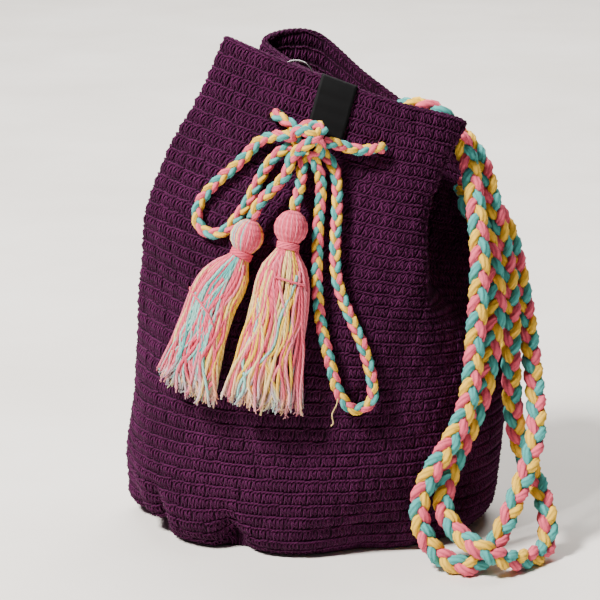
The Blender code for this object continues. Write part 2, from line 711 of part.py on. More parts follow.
def label_tab(seat, finish):
    """The woven label: one strip that runs up the front, over the rim and down the inside."""
    along = unit(LABEL_ALONG)
    down = unit(LABEL_DOWN)
    out = unit(LABEL_OUT)
    half = LABEL_THICKNESS / 2
    edge = bag_grid()[-1, :sum(steps for _, _, steps in FOLDS[:3])]
    rim = np.array([np.interp(LABEL_RIM_X, edge[:, 0], edge[:, axis]) for axis in range(3)])
    fronts = list(np.linspace(LABEL_FRONT_LEG, LABEL_FOLD_START, 9))
    backs = list(np.linspace(LABEL_FOLD_START, LABEL_BACK_LEG, 4))
    outer = []
    inner = []
    for across in np.linspace(-LABEL_WIDTH / 2, LABEL_WIDTH / 2, 5):
        base = rim + along * across
        path = []
        for depth in fronts:
            spot = base + down * depth
            path.append((depth, seat.crest(spot, out, down, along) + GAP + half))
        front = path[-1][1]
        inside = []
        for depth in backs:
            spot = base + down * depth
            lift = seat.height(spot - out * WALL, -out, 0.012)
            inside.append((depth, -WALL - lift - GAP - half))
        back = inside[0][1]
        middle = (front + back) / 2
        rise = seat.height(base - out * WALL / 2, -down) + 2 * GAP + LABEL_THICKNESS
        for turn in (15.0, 40.0, 65.0, 90.0, 115.0, 140.0, 165.0):
            lift = math.sin(math.radians(turn)) ** LABEL_FOLD_SQUARENESS
            aside = abs(math.cos(math.radians(turn))) ** LABEL_FOLD_SQUARENESS
            side = front if turn < 90.0 else back
            path.append((LABEL_FOLD_START - (rise + LABEL_FOLD_START) * lift, middle + (side - middle) * aside))
        path += inside
        path = np.array(path)
        steps = np.gradient(path, axis=0)
        normal = np.column_stack([steps[:, 1], -steps[:, 0]])
        normal /= np.linalg.norm(normal, axis=1)[:, None]
        outer.append([base + down * d + out * h for d, h in path + half * normal])
        inner.append([base + down * d + out * h for d, h in path - half * normal])
    count = len(outer[0])
    rings = []
    for station in range(count):
        rings.append([row[station] for row in outer] + [row[station] for row in reversed(inner)])
    points = [point for ring in rings for point in ring]
    around = len(rings[0])
    faces = [list(range(around))]
    for level in range(count - 1):
        for index in range(around):
            following = (index + 1) % around
            faces.append([level * around + index, (level + 1) * around + index,
                          (level + 1) * around + following, level * around + following])
    faces.append([(count - 1) * around + index for index in reversed(range(around))])
    return mesh_object("label_tab", points, faces, finish)


def key_ring(finish):
    """The metal ring, standing up out of its loop and leaning back on the fabric."""
    lean = math.radians(RING_LEAN)
    up = np.array((0.0, math.sin(lean), math.cos(lean)))
    side = np.array((1.0, 0.0, 0.0))
    out = np.cross(side, up)
    centre = np.array(RING_HINGE) + up * RING_RADIUS
    rings = []
    for turn in np.linspace(0.0, 2 * math.pi, 40, endpoint=False):
        radial = -up * math.cos(turn) + side * math.sin(turn)
        spot = centre + radial * RING_RADIUS
        rings.append([spot + RING_WIRE_RADIUS * (radial * math.cos(part) + out * math.sin(part))
                      for part in np.linspace(0.0, 2 * math.pi, 8, endpoint=False)])
    return loop_mesh("key_ring", rings, finish)


def ring_loop(finish):
    """The yarn loop round the ring's wire, with both legs on the inside of the front panel."""
    lean = math.radians(RING_LEAN)
    up = np.array((0.0, math.sin(lean), math.cos(lean)))
    inward = np.array((0.0, math.cos(lean), -math.sin(lean)))
    centre = np.array(RING_HINGE)
    path = [(-LOOP_LEG, LOOP_RADIUS)]
    path += [(LOOP_RADIUS * math.sin(turn), LOOP_RADIUS * math.cos(turn)) for turn in np.linspace(0.0, math.pi, 9)]
    path.append((-LOOP_LEG, -LOOP_RADIUS))
    path = np.array(path)
    steps = np.gradient(path, axis=0)
    steps[0] = path[1] - path[0]
    steps[-1] = path[-1] - path[-2]
    steps /= np.linalg.norm(steps, axis=1)[:, None]
    rings = []
    for (deep, high), (step_in, step_up) in zip(path, steps):
        across = inward * step_up - up * step_in
        spot = centre + inward * deep + up * high
        rings.append([spot + LOOP_YARN_RADIUS * (np.array((math.cos(part), 0.0, 0.0)) + across * math.sin(part))
                      for part in np.linspace(0.0, 2 * math.pi, 8, endpoint=False)])
    return rings_mesh("ring_loop", rings, centre + inward * path[0][0] + up * path[0][1],
                      centre + inward * path[-1][0] + up * path[-1][1], finish)


def bow_knot(finish):
    """The knot that ties the two halves of the drawstring, as one lump with slanting wraps."""
    side = np.array((1.0, 0.0, 0.0))
    up = unit(KNOT_UP)
    out = unit(KNOT_OUT)
    centre = np.array(KNOT_CENTRE)
    rings = []
    for level in np.linspace(0.0, math.pi, 13)[1:-1]:
        ring = []
        for turn in np.linspace(0.0, 2 * math.pi, 20, endpoint=False):
            shape = np.array((math.sin(level) * math.cos(turn), -math.cos(level), math.sin(level) * math.sin(turn)))
            wave = math.cos(KNOT_WRAPS * math.pi * (shape[1] + 0.5 * shape[0]))
            scale = 1.0 - KNOT_GROOVE / KNOT_HALF[2] * (0.5 + 0.5 * wave) * math.sin(level)
            spot = shape * np.array(KNOT_HALF) * scale
            ring.append(centre + side * spot[0] + up * spot[1] + out * spot[2])
        rings.append(ring)
    return rings_mesh("drawstring_knot", rings, centre - up * KNOT_HALF[1], centre + up * KNOT_HALF[1], finish)


class Hank:
    """The middle line of a tassel with its directions, read by distance from the top."""

    def __init__(self, line, length, spread):
        line = np.array(line)
        self.profile = np.array(TASSEL_PROFILE)
        skirt = self.profile[:, 0] > TASSEL_HEAD_END
        stretch = (length - TASSEL_HEAD_END) / (self.profile[-1, 0] - TASSEL_HEAD_END)
        self.profile[skirt, 0] = TASSEL_HEAD_END + (self.profile[skirt, 0] - TASSEL_HEAD_END) * stretch
        self.profile[:, 1] *= np.where(skirt, spread, 1.0)
        lengths = np.linalg.norm(np.diff(line[:, :3], axis=0), axis=1)
        self.params = np.concatenate([[0.0], np.cumsum(lengths)])
        self.line = line

    def frame(self, distance):
        """The point at a distance from the top, and the directions to the side, out and down."""
        spots = smooth_through(self.params, self.line[:, :3], [distance - 0.001, distance, distance + 0.001])
        down = unit(spots[2] - spots[0])
        facing = smooth_through(self.params, self.line[:, 3:], [distance])[0]
        side = unit(np.cross(down, facing))
        return spots[1], side, np.cross(side, down), down

    def outline(self, distance):
        """The hank's half width and half depth at a distance from the top."""
        table = self.profile
        return np.interp(distance, table[:, 0], table[:, 1]), np.interp(distance, table[:, 0], table[:, 2])

    def surface(self, distance, angle, lift):
        """A point off the hank's face, at an angle from its side in degrees."""
        spot, side, out, _ = self.frame(distance)
        width, depth = self.outline(distance)
        turn = math.radians(angle)
        return spot + side * (width + lift) * math.cos(turn) + out * (depth + lift) * math.sin(turn)


def tassel(name, hank, finish):
    """One hank of yarn: a round head and a skirt that widens to its cut end."""
    around = 2 * TASSEL_FLUTES
    rings = []
    for distance, width, depth in hank.profile:
        spot, side, out, down = hank.frame(distance)
        flute = HEAD_FLUTE if distance <= TASSEL_HEAD_END else SKIRT_FLUTE
        ring = []
        for index in range(around):
            turn = 2 * math.pi * index / around
            inset = flute * (index % 2)
            longer = 0.0
            if distance == hank.profile[-1, 0]:
                longer = -TASSEL_JAG * ((index * 7) % 5) / 4
            across = side * (width - inset) * math.cos(turn) + out * (depth - inset) * math.sin(turn)
            ring.append(spot + across + down * longer)
        rings.append(ring)
    top = hank.frame(0.0)[0]
    spot, _, _, down = hank.frame(hank.profile[-1, 0])
    return rings_mesh(name, rings, top, spot - down * TASSEL_JAG, finish)


def neck_binding(name, hank, finish):
    """Turns of yarn wound round a tassel's neck."""
    section = [(BINDING_START, BINDING_INNER)]
    turns = 2 * BINDING_TURNS + 1
    for index in range(turns):
        share = index / (turns - 1)
        thick = BINDING_THICK if index % 2 else 0.6 * BINDING_THICK
        section.append((BINDING_START + (BINDING_END - BINDING_START) * share, BINDING_INNER + thick))
    section.append((BINDING_END, BINDING_INNER))
    spot, side, out, down = hank.frame((BINDING_START + BINDING_END) / 2)
    middle = (BINDING_START + BINDING_END) / 2
    rings = []
    for turn in np.linspace(0.0, 2 * math.pi, 20, endpoint=False):
        radial = side * math.cos(turn) + out * math.sin(turn)
        rings.append([spot + down * (along - middle) + radial * radius for along, radius in section])
    return loop_mesh(name, rings, finish)


def loose_yarn(name, hank, places, finish):
    """A single yarn that has come loose across a skirt."""
    lift = LOOSE_YARN_RADIUS + 2.5 * GAP
    route = [hank.surface(distance, angle, lift) for distance, angle in places]
    return cord(name, route, 2 * LOOSE_YARN_RADIUS, 4.0, 8, finish)


def clear_scene():
    """Removes every object of the scene."""
    for thing in list(bpy.data.objects):
        bpy.data.objects.remove(thing, do_unlink=True)


def main():
    """Builds the bag."""
    clear_scene()
    crochet = material("aubergine_crochet", (0.085, 0.020, 0.075), 0.9)
    woven = material("black_label", (0.012, 0.012, 0.014), 0.6)
    steel = material("nickel_ring", (0.75, 0.75, 0.76), 0.25, 1.0)
    braid = material("braided_yarn", (0.85, 0.50, 0.48), 0.85)
    yarn = material("tassel_yarn", (0.85, 0.38, 0.46), 0.9)
    body = bag_body(crochet)
    label_tab(Seat(body), woven)
    key_ring(steel)
    ring_loop(crochet)
    bow_knot(braid)
    cord("drawstring_run", MOUTH_RUN, DRAWSTRING_DIAMETER, 1.4, 8, braid)
    for name, route in (("bow_left", BOW_LEFT), ("bow_right", BOW_RIGHT), ("tail_left", TAIL_LEFT),
                        ("tail_right", TAIL_RIGHT)):
        cord(name, route, DRAWSTRING_DIAMETER, 2.0, 8, braid)
    cord("strap_front", STRAP_FRONT, STRAP_DIAMETER, 2.0, 10, braid)
    cord("strap_back", STRAP_BACK, STRAP_DIAMETER, 2.0, 10, braid)
    left = Hank(TASSEL_LEFT, LEFT_LENGTH, LEFT_SPREAD)
    right = Hank(TASSEL_RIGHT, RIGHT_LENGTH, RIGHT_SPREAD)
    for side, hank, loose in (("left", left, LOOSE_LEFT), ("right", right, LOOSE_RIGHT)):
        tassel("tassel_" + side, hank, yarn)
        neck_binding("neck_binding_" + side, hank, yarn)
        loose_yarn("loose_yarn_" + side, hank, loose, yarn)


main()
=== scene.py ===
"""A crocheted potli bag with a braided drawstring, tassels and shoulder braids.

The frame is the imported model's: metres, +X to the right of the front panel, +Y to the back and
+Z up. The bag stands on z = 0.
"""

import logging
import math
from dataclasses import dataclass, field
from enum import Enum
from functools import reduce

import bpy
import numpy as np
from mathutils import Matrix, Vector


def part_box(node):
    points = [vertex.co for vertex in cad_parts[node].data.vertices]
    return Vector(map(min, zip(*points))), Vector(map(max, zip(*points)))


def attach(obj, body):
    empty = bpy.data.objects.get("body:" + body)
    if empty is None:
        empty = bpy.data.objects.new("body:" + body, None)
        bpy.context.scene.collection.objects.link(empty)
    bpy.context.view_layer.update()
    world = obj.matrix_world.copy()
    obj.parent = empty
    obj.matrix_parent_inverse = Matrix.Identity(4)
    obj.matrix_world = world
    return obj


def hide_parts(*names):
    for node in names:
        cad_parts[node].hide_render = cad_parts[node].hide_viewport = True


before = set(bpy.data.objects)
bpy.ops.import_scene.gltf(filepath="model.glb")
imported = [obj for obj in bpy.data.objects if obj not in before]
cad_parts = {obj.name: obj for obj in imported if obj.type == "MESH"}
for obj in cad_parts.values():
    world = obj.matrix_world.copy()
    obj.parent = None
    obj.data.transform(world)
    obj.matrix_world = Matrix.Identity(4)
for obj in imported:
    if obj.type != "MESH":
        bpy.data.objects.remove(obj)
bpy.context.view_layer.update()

LOG = logging.getLogger("potli_bag")
FULL_TURN = 2 * math.pi
Array = np.ndarray
Socket = bpy.types.NodeSocket
Thing = bpy.types.Object
Colour = tuple[float, float, float]
Place = tuple[float, float, float]


def metres(*places: tuple) -> Array:
    """Reads places that are given in tenths of a millimetre."""
    return np.array(places) / 10000


# The rows, creases and routes follow the part's source. Moved here, nearer to the photograph, are
# the first two creases, points of the rows at 0.229 and 0.263, and the back braid's start.

# Where the fold columns lie round the lower rows, in degrees, and a quarter of the number of control
# columns from each of them to the next.
FOLD_TURNS = (180, 226, 270, 302, 317, 330, 343, 358, 38, 68, 95, 130, 146, 158, 169)
FOLD_STEPS = (5, 5, 4, 3, 3, 3, 3, 4, 3, 3, 3, 3, 3, 3, 3)
# The lower edge's creases: place round it in degrees, depth and half width in degrees.
BASE_CREASES = (
    (191, 0.013, 14), (243, 0.008, 9), (287, 0.007, 12), (30, 0.006, 12), (100, 0.007, 12), (150, 0.005, 11),
)
# The drawn-in rows: height, fall to the right, and x, y and rise at each fold column.
UPPER_ROWS = (
    (0.138, 0.12, metres(
        (-1150, -40, 0), (-620, -700, 0), (100, -800, 0), (600, -690, 0), (820, -540, 0), (1000, -370, 0),
        (1150, -180, 0), (1245, 40, 0), (1000, 530, 0), (560, 750, 0), (-100, 830, 0), (-880, 600, 0),
        (-1010, 440, 0), (-1090, 290, 0), (-1135, 130, 0),
    )),
    (0.163, 0.16, metres(
        (-1130, -70, 0), (-555, -670, 0), (180, -750, 0), (630, -640, 0), (765, -490, 0), (860, -310, 0),
        (1060, -130, 0), (1265, 80, 0), (970, 560, 0), (520, 750, 0), (-90, 810, 0), (-850, 590, 0),
        (-940, 430, 0), (-970, 270, 0), (-1055, 100, 0),
    )),
    (0.188, 0.2, metres(
        (-1100, -90, 0), (-480, -630, 0), (260, -690, 0), (640, -570, 0), (620, -410, 0), (600, -220, 0),
        (890, -70, 0), (1275, 120, 0), (930, 580, 0), (480, 740, 0), (-80, 780, 0), (-820, 580, 0),
        (-840, 400, 0), (-780, 220, 0), (-960, 60, 0),
    )),
    (0.229, 0.25, metres(
        (-935, -120, 0), (-350, -510, 0), (350, -550, 0), (650, -460, 0), (590, -270, -60), (500, -90, -100),
        (790, 60, -110), (1245, 190, -120), (820, 540, -60), (420, 630, -20), (-60, 670, 20), (-650, 510, 0),
        (-520, 310, -30), (-340, 150, -40), (-680, 0, -20),
    )),
    (0.263, 0.3, metres(
        (-750, -140, 0), (-230, -400, 0), (410, -430, 0), (755, -310, 0), (630, -140, -130), (470, -10, -180),
        (720, 120, -200), (1180, 250, -260), (680, 460, -120), (340, 520, -30), (-40, 560, 60),
        (-470, 420, -20), (-270, 240, -60), (-70, 100, -50), (-450, -30, -30),
    )),
    (0.299, 0.357, metres(
        (-600, -140, 0), (-160, -300, 0), (440, -320, 0), (910, -160, 0), (700, -40, -180), (480, 60, -240),
        (680, 170, -260), (1010, 290, -330), (620, 460, -160), (300, 530, -40), (-40, 580, 105),
        (-370, 420, -30), (-180, 250, -90), (0, 110, -80), (-320, -20, -40),
    )),
)
# The front's soft creases: x and z of the middle, tilt, half length, half width and height.
WRINKLES = (
    (-0.104, 0.016, -80, 0.02, 0.005, -0.009),
    (-0.119, 0.013, 0, 0.011, 0.01, 0.005),
    (-0.079, 0.018, -30, 0.024, 0.011, 0.0035),
    (-0.055, 0.006, -70, 0.017, 0.006, -0.01),
    (-0.025, 0.012, 0, 0.026, 0.011, 0.0025),
    (0.018, 0.02, 6, 0.06, 0.006, -0.0016),
    (0.075, 0.016, 60, 0.022, 0.007, -0.006),
    (0.06, 0.058, 12, 0.05, 0.014, 0.0022),
    (-0.06, 0.09, -16, 0.05, 0.014, 0.0016),
    (-0.09, 0.15, -60, 0.04, 0.011, -0.002),
    (0.045, 0.11, 20, 0.045, 0.011, -0.0018),
    (0.05, 0.165, 58, 0.045, 0.01, 0.002),
)
MOUTH_RUN = metres(
    (-166, -488, 2704), (-191, -479, 2727), (-286, -406, 2772), (-275, -352, 2756), (-260, -287, 2732),
    (-295, -200, 2655), (-250, -100, 2575), (-130, -40, 2540), (-20, 10, 2535), (30, 120, 2535),
    (10, 260, 2545), (25, 390, 2555), (130, 455, 2550), (250, 395, 2540), (325, 260, 2530), (360, 80, 2520),
    (370, -100, 2505), (360, -240, 2508), (356, -337, 2534), (368, -403, 2556), (363, -459, 2575),
    (239, -508, 2572), (122, -527, 2602), (52, -565, 2631), (17, -564, 2635),
)
BOW_LEFT = metres(
    (-192, -552, 2666), (-227, -550, 2672), (-293, -509, 2660), (-384, -465, 2617), (-462, -473, 2537),
    (-540, -476, 2456), (-626, -466, 2384), (-702, -453, 2302), (-763, -450, 2208), (-766, -487, 2106),
    (-694, -553, 2057), (-595, -593, 2085), (-520, -593, 2169), (-457, -582, 2261), (-405, -564, 2359),
    (-351, -541, 2455), (-283, -532, 2544), (-221, -530, 2587), (-188, -526, 2599),
)
BOW_RIGHT = metres(
    (-54, -594, 2550), (-43, -606, 2518), (-11, -602, 2423), (-9, -622, 2290), (-22, -661, 2161),
    (-27, -713, 2036), (-31, -753, 1907), (-30, -778, 1774), (-19, -802, 1641), (2, -834, 1511),
    (33, -857, 1381), (66, -869, 1251), (107, -875, 1122), (191, -877, 1021), (302, -855, 1059),
    (308, -843, 1192), (279, -838, 1324), (237, -830, 1452), (181, -812, 1575), (129, -785, 1697),
    (91, -765, 1825), (80, -729, 1955), (83, -682, 2082), (90, -640, 2211), (92, -591, 2337), (75, -554, 2465),
    (22, -545, 2546), (-5, -537, 2568),
)
TAIL_LEFT = metres(
    (-159, -586, 2572), (-183, -596, 2547), (-196, -606, 2515), (-219, -621, 2450), (-261, -641, 2398),
    (-312, -663, 2353), (-361, -681, 2306), (-402, -696, 2250), (-426, -706, 2185),
)
TAIL_RIGHT = metres(
    (-111, -550, 2531), (-119, -562, 2498), (-126, -594, 2426), (-133, -624, 2378), (-144, -665, 2339),
    (-160, -703, 2299), (-172, -722, 2247),
)
STRAP_FRONT = metres(
    (400, 403, 2500), (469, 273, 2634), (569, 119, 2712), (734, 18, 2695), (866, -16, 2553), (936, -70, 2375),
    (961, -184, 2212), (980, -297, 2047), (989, -392, 1871), (983, -469, 1685), (967, -538, 1497),
    (951, -600, 1307), (931, -659, 1117), (883, -740, 940), (795, -828, 783), (687, -892, 627),
    (610, -926, 446), (628, -972, 254), (743, -1008, 99), (917, -1071, 65), (1055, -944, 124),
    (1154, -862, 277), (1233, -763, 433), (1306, -657, 587), (1356, -540, 742), (1366, -412, 896),
    (1356, -289, 1054), (1338, -184, 1224), (1314, -105, 1407), (1279, -48, 1596), (1239, 11, 1783),
    (1175, 79, 1960), (1055, 123, 2114), (880, 93, 2200),
)
STRAP_BACK = metres(
    (915, 0, 2130), (990, -105, 2030), (1058, -199, 1881), (1090, -287, 1715), (1104, -349, 1535),
    (1081, -422, 1360), (1050, -498, 1187), (1009, -572, 1015), (939, -642, 852), (859, -717, 695),
    (789, -800, 538), (759, -898, 377), (849, -1002, 250), (985, -1120, 193), (1140, -1069, 105),
    (1281, -949, 63), (1406, -813, 80), (1425, -714, 256), (1386, -584, 390), (1313, -482, 534),
    (1249, -429, 706), (1220, -388, 890), (1211, -343, 1076), (1208, -292, 1260), (1208, -233, 1442),
    (1195, -172, 1623), (1169, -105, 1800), (1125, -66, 1982), (1078, -32, 2164), (1031, 46, 2332),
    (940, 130, 2476), (801, 200, 2585), (653, 301, 2569), (600, 365, 2400),
)
KNOT_LEFT = metres(
    (-150, -610, 2592), (-105, -643, 2627), (-42, -637, 2677), (0, -578, 2715), (-52, -505, 2732),
    (-128, -512, 2708),
)
KNOT_RIGHT = metres(
    (-105, -525, 2560), (-152, -522, 2622), (-163, -568, 2690), (-100, -622, 2713), (-22, -632, 2650),
    (-10, -613, 2587),
)
WISP = metres(
    (102, -890, 1128), (90, -903, 1060), (62, -900, 995), (70, -890, 938), (58, -886, 915),
)
# A tassel's outline: distance from the top, half width and half depth.
TASSEL_PROFILE = metres(
    (8, 40, 40), (30, 72, 70), (65, 97, 94), (105, 106, 102), (145, 98, 94), (180, 72, 70), (200, 52, 52),
    (240, 52, 52), (265, 84, 70), (300, 118, 82), (350, 150, 88), (430, 174, 90), (560, 182, 90),
    (720, 190, 89), (860, 202, 88), (990, 218, 88), (1120, 240, 88),
)
TASSEL_HEAD_END = 0.024
# The tassels' middle lines: the place, and the direction that the front looks in.
TASSEL_LEFT = metres(
    (-428, -707, 2180, -2600, -9000, 3400), (-459, -722, 2080, -2800, -9200, 2900),
    (-489, -737, 1982, -3100, -9100, 2600), (-555, -755, 1864, -3900, -8900, 2300),
    (-653, -750, 1706, -4600, -8600, 2000), (-730, -743, 1478, -5600, -8200, 1100),
    (-841, -707, 1117, -5800, -8100, 600),
)
TASSEL_RIGHT = metres(
    (-173, -724, 2242, -400, -9500, 3200), (-190, -750, 2141, -400, -9500, 3100),
    (-205, -773, 2052, -400, -9600, 2900), (-235, -824, 1865, -600, -9800, 2000),
    (-259, -869, 1648, -600, -9700, 1800), (-312, -899, 1397, -1000, -9900, 1200),
    (-368, -903, 1050, -1700, -9800, 600),
)
# The loose yarns: distance from the tassel's top, and angle round it in degrees.
LOOSE_LEFT = ((0.0556, 16), (0.056, 38), (0.0573, 73), (0.0625, 107), (0.0673, 122))
LOOSE_RIGHT = ((0.0408, 76), (0.0425, 105), (0.0442, 139))
# The label's line from its front foot over the rim to its back foot: left edge, middle and right edge.
LABEL_LINE = metres(
    ((-104, -445, 2657), (6, -457, 2621), (117, -462, 2583)),
    ((-92, -432, 2698), (18, -444, 2662), (129, -450, 2625)),
    ((-80, -418, 2738), (30, -429, 2702), (141, -433, 2664)),
    ((-68, -407, 2779), (42, -417, 2743), (153, -423, 2705)),
    ((-57, -393, 2819), (54, -402, 2783), (165, -406, 2744)),
    ((-45, -382, 2861), (66, -391, 2824), (176, -395, 2786)),
    ((-33, -367, 2901), (78, -375, 2864), (188, -379, 2825)),
    ((-21, -357, 2942), (89, -364, 2905), (200, -367, 2866)),
    ((-9, -339, 2981), (101, -346, 2944), (212, -349, 2905)),
    ((-4, -332, 2996), (106, -339, 2958), (216, -343, 2919)),
    ((-1, -324, 3006), (109, -332, 2967), (219, -335, 2927)),
    ((1, -314, 3009), (111, -322, 2970), (221, -326, 2930)),
    ((2, -297, 3005), (112, -306, 2966), (222, -310, 2926)),
    ((2, -282, 2997), (112, -291, 2959), (222, -295, 2918)),
    ((0, -278, 2988), (110, -287, 2950), (220, -290, 2910)),
    ((-3, -279, 2976), (107, -288, 2939), (217, -292, 2899)),
    ((-8, -285, 2961), (103, -294, 2924), (213, -297, 2885)),
    ((-17, -295, 2929), (93, -304, 2892), (204, -308, 2854)),
    ((-27, -305, 2897), (84, -315, 2860), (195, -319, 2822)),
    ((-36, -315, 2865), (75, -325, 2829), (185, -330, 2791)),
)


class Body(Enum):
    """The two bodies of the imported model."""

    BAG = "bag"
    RING = "ring"


class Slot(Enum):
    """The record's material slots."""

    CROCHET = "aubergine_crochet"
    LABEL = "black_label"
    RING = "nickel_ring"
    BRAID = "braided_yarn"
    TASSEL = "tassel_yarn"


# Dyes, as linear colours.
PINK: Colour = (0.760, 0.108, 0.175)
TEAL: Colour = (0.072, 0.360, 0.340)
MUSTARD: Colour = (0.820, 0.490, 0.045)
ROSE: Colour = (0.730, 0.085, 0.150)
PALE_ROSE: Colour = (0.80, 0.19, 0.26)
DEEP_ROSE: Colour = (0.66, 0.085, 0.14)
MINT: Colour = (0.260, 0.560, 0.500)
CREAM: Colour = (0.780, 0.560, 0.220)
AUBERGINE: Colour = (0.070, 0.014, 0.058)
STEEL: Colour = (0.6, 0.6, 0.6)


def unit(vectors: Array) -> Array:
    """Scales vectors, in the last axis, to length 1."""
    return vectors / np.linalg.norm(vectors, axis=-1, keepdims=True)


def lengths_along(points: Array) -> Array:
    """Measures how far along a line each of its points is."""
    return np.concatenate([[0.0], np.cumsum(np.linalg.norm(np.diff(points, axis=0), axis=1))])


def read_along(places: Array, run: Array, points: Array) -> Array:
    """Reads points of a line at some distances, where run has the distance of each of its points."""
    return np.column_stack([np.interp(places, run, column) for column in points.T])


def grid_faces(index: Array) -> Array:
    """Lists the four corners of each face of a grid of point numbers."""
    return np.stack([index[:-1, :-1], index[:-1, 1:], index[1:, 1:], index[1:, :-1]], axis=-1)


def smooth_through(params: Array, points: Array, samples: Array, closed: bool = False) -> Array:
    """Reads a smooth curve that passes through given points.

    Args:
        params: Where each point is along the curve.
        points: The points; in a closed curve the last one repeats the first.
        samples: Where to read the curve.
        closed: Whether the curve runs round.

    Returns:
        The curve's points at the samples.
    """
    if closed:
        rows = np.concatenate([points[-2:-1], points, points[1:2]])
        knots = np.concatenate([[params[-2] - params[-1]], params, [params[1] + params[-1]]])
    else:
        rows = np.concatenate([[2 * points[0] - points[1]], points, [2 * points[-1] - points[-2]]])
        knots = np.concatenate([[2 * params[0] - params[1]], params, [2 * params[-1] - params[-2]]])
    span = np.clip(np.searchsorted(params, samples, side="right") - 1, 0, len(params) - 2) + 1
    shape = (-1,) + (1,) * (points.ndim - 1)
    step = (knots[span + 1] - knots[span]).reshape(shape)
    t = (samples - knots[span]).reshape(shape) / step
    slope_in = (rows[span + 1] - rows[span - 1]) / (knots[span + 1] - knots[span - 1]).reshape(shape)
    slope_out = (rows[span + 2] - rows[span]) / (knots[span + 2] - knots[span]).reshape(shape)
    return (
        (2 * t**3 - 3 * t**2 + 1) * rows[span]
        + (t**3 - 2 * t**2 + t) * step * slope_in
        + (3 * t**2 - 2 * t**3) * rows[span + 1]
        + (t**3 - t**2) * step * slope_out
    )


@dataclass(frozen=True)
class Track:
    """A line through space that knows its own side and its own front."""

    points: Array
    side: Array
    out: Array
    along: Array

    @classmethod
    def through(cls, route: Array, step: float, facing: Place = (0.0, -1.0, 0.0)) -> "Track":
        """Lays a track on the smooth curve through a route.

        Args:
            route: The points that it passes through.
            step: The distance between the track's points.
            facing: The direction that its front looks in, as nearly as the line lets it.

        Returns:
            The track.
        """
        samples_each, turn_share, tiny = 40, 0.25, 1e-9
        params = lengths_along(route)
        dense = smooth_through(params, route, np.linspace(0.0, params[-1], samples_each * len(route)))
        run = lengths_along(dense)
        along = np.linspace(0.0, run[-1], max(4, round(run[-1] / step) + 1))
        points = read_along(along, run, dense)
        forward = unit(np.gradient(points, axis=0))
        held = look = unit(np.array(facing))
        out = np.zeros_like(points)
        for index, ahead in enumerate(forward):
            seen = look - ahead * (look @ ahead)
            carried = held - ahead * (held @ ahead)
            weight = turn_share * min(1.0, float(seen @ seen)) ** 2
            held = unit(unit(carried) * (1.0 - weight) + seen * weight + tiny)
            held = out[index] = unit(held - ahead * (held @ ahead))
        return cls(points, np.cross(forward, out), out, along)


@dataclass
class Strand:
    """One yarn, as the line of its middle, its radius and its dye."""

    points: Array
    thick: Array | float
    dye: Array | Colour
    start: float = 0.0


def shown(name: str, mesh: bpy.types.ID) -> Thing:
    """Puts an object at the origin.

    Args:
        name: Its name.
        mesh: Its mesh, light or camera.

    Returns:
        The object.
    """
    made = bpy.data.objects.new(name, mesh)
    bpy.context.scene.collection.objects.link(made)
    return made


def write_layer(mesh: bpy.types.Mesh, label: str, kind: str, values: Array) -> None:
    """Writes an attribute on a mesh's points.

    Args:
        mesh: The mesh.
        label: The attribute's name.
        kind: Its kind of data.
        values: Its values.
    """
    key = {"FLOAT": "value", "FLOAT_COLOR": "color", "FLOAT_VECTOR": "vector"}[kind]
    layer = mesh.attributes.new(label, kind, "POINT")
    layer.data.foreach_set(key, values.astype(np.float32).ravel())


def write_uv(mesh: bpy.types.Mesh, label: str, flat: Array) -> None:
    """Writes a UV layer.

    Args:
        mesh: The mesh.
        label: The layer's name.
        flat: The place of each of the mesh's points.
    """
    corners = np.zeros(len(mesh.loops), dtype=np.int32)
    mesh.loops.foreach_get("vertex_index", corners)
    layer = mesh.uv_layers.new(name=label)
    layer.data.foreach_set("uv", flat[corners].astype(np.float32).ravel())


def lines_object(name: str, strands: list[Strand], track: Track | None = None) -> Thing:
    """Makes the guide mesh of some yarns, which has edges only.

    Args:
        name: The guide's name.
        strands: The yarns.
        track: The directions along the only strand, where a braid needs them.

    Returns:
        The guide, with its thickness, dye and length along on each point.
    """
    counts = [len(strand.points) for strand in strands]
    points = np.concatenate([strand.points for strand in strands])
    along = np.concatenate([strand.start + lengths_along(strand.points) for strand in strands])
    thick = np.concatenate([np.broadcast_to(strand.thick, count) for strand, count in zip(strands, counts)])
    dye = np.concatenate([np.broadcast_to(strand.dye, (count, 3)) for strand, count in zip(strands, counts)])
    index = np.arange(len(points) - 1)
    index = index[~np.isin(index, np.cumsum(counts)[:-1] - 1)]
    mesh = bpy.data.meshes.new(name)
    mesh.vertices.add(len(points))
    mesh.vertices.foreach_set("co", points.astype(np.float32).ravel())
    mesh.edges.add(len(index))
    mesh.edges.foreach_set("vertices", np.column_stack([index, index + 1]).astype(np.int32).ravel())
    write_layer(mesh, "along", "FLOAT", along)
    write_layer(mesh, "thick", "FLOAT", thick)
    write_layer(mesh, "dye", "FLOAT_COLOR", np.column_stack([dye, np.ones(len(dye))]))
    if track is not None:
        write_layer(mesh, "side", "FLOAT_VECTOR", track.side)
        write_layer(mesh, "out", "FLOAT_VECTOR", track.out)
    mesh.update()
    return shown(name, mesh)


def mesh_piece(name: str, points: Array, faces: list, finish: bpy.types.Material | None = None) -> Thing:
    """Makes a smooth mesh object at the origin.

    Args:
        name: The object's name.
        points: Its points, in any grid.
        faces: Its faces, with their corners in order seen from outside.
        finish: Its material.

    Returns:
        The object.
    """
    mesh = bpy.data.meshes.new(name)
    mesh.from_pydata(points.reshape(-1, 3).tolist(), [], faces)
    if finish:
        mesh.polygons.foreach_set("use_smooth", np.full(len(mesh.polygons), True))
        mesh.materials.append(finish)
    mesh.update()
    return shown(name, mesh)


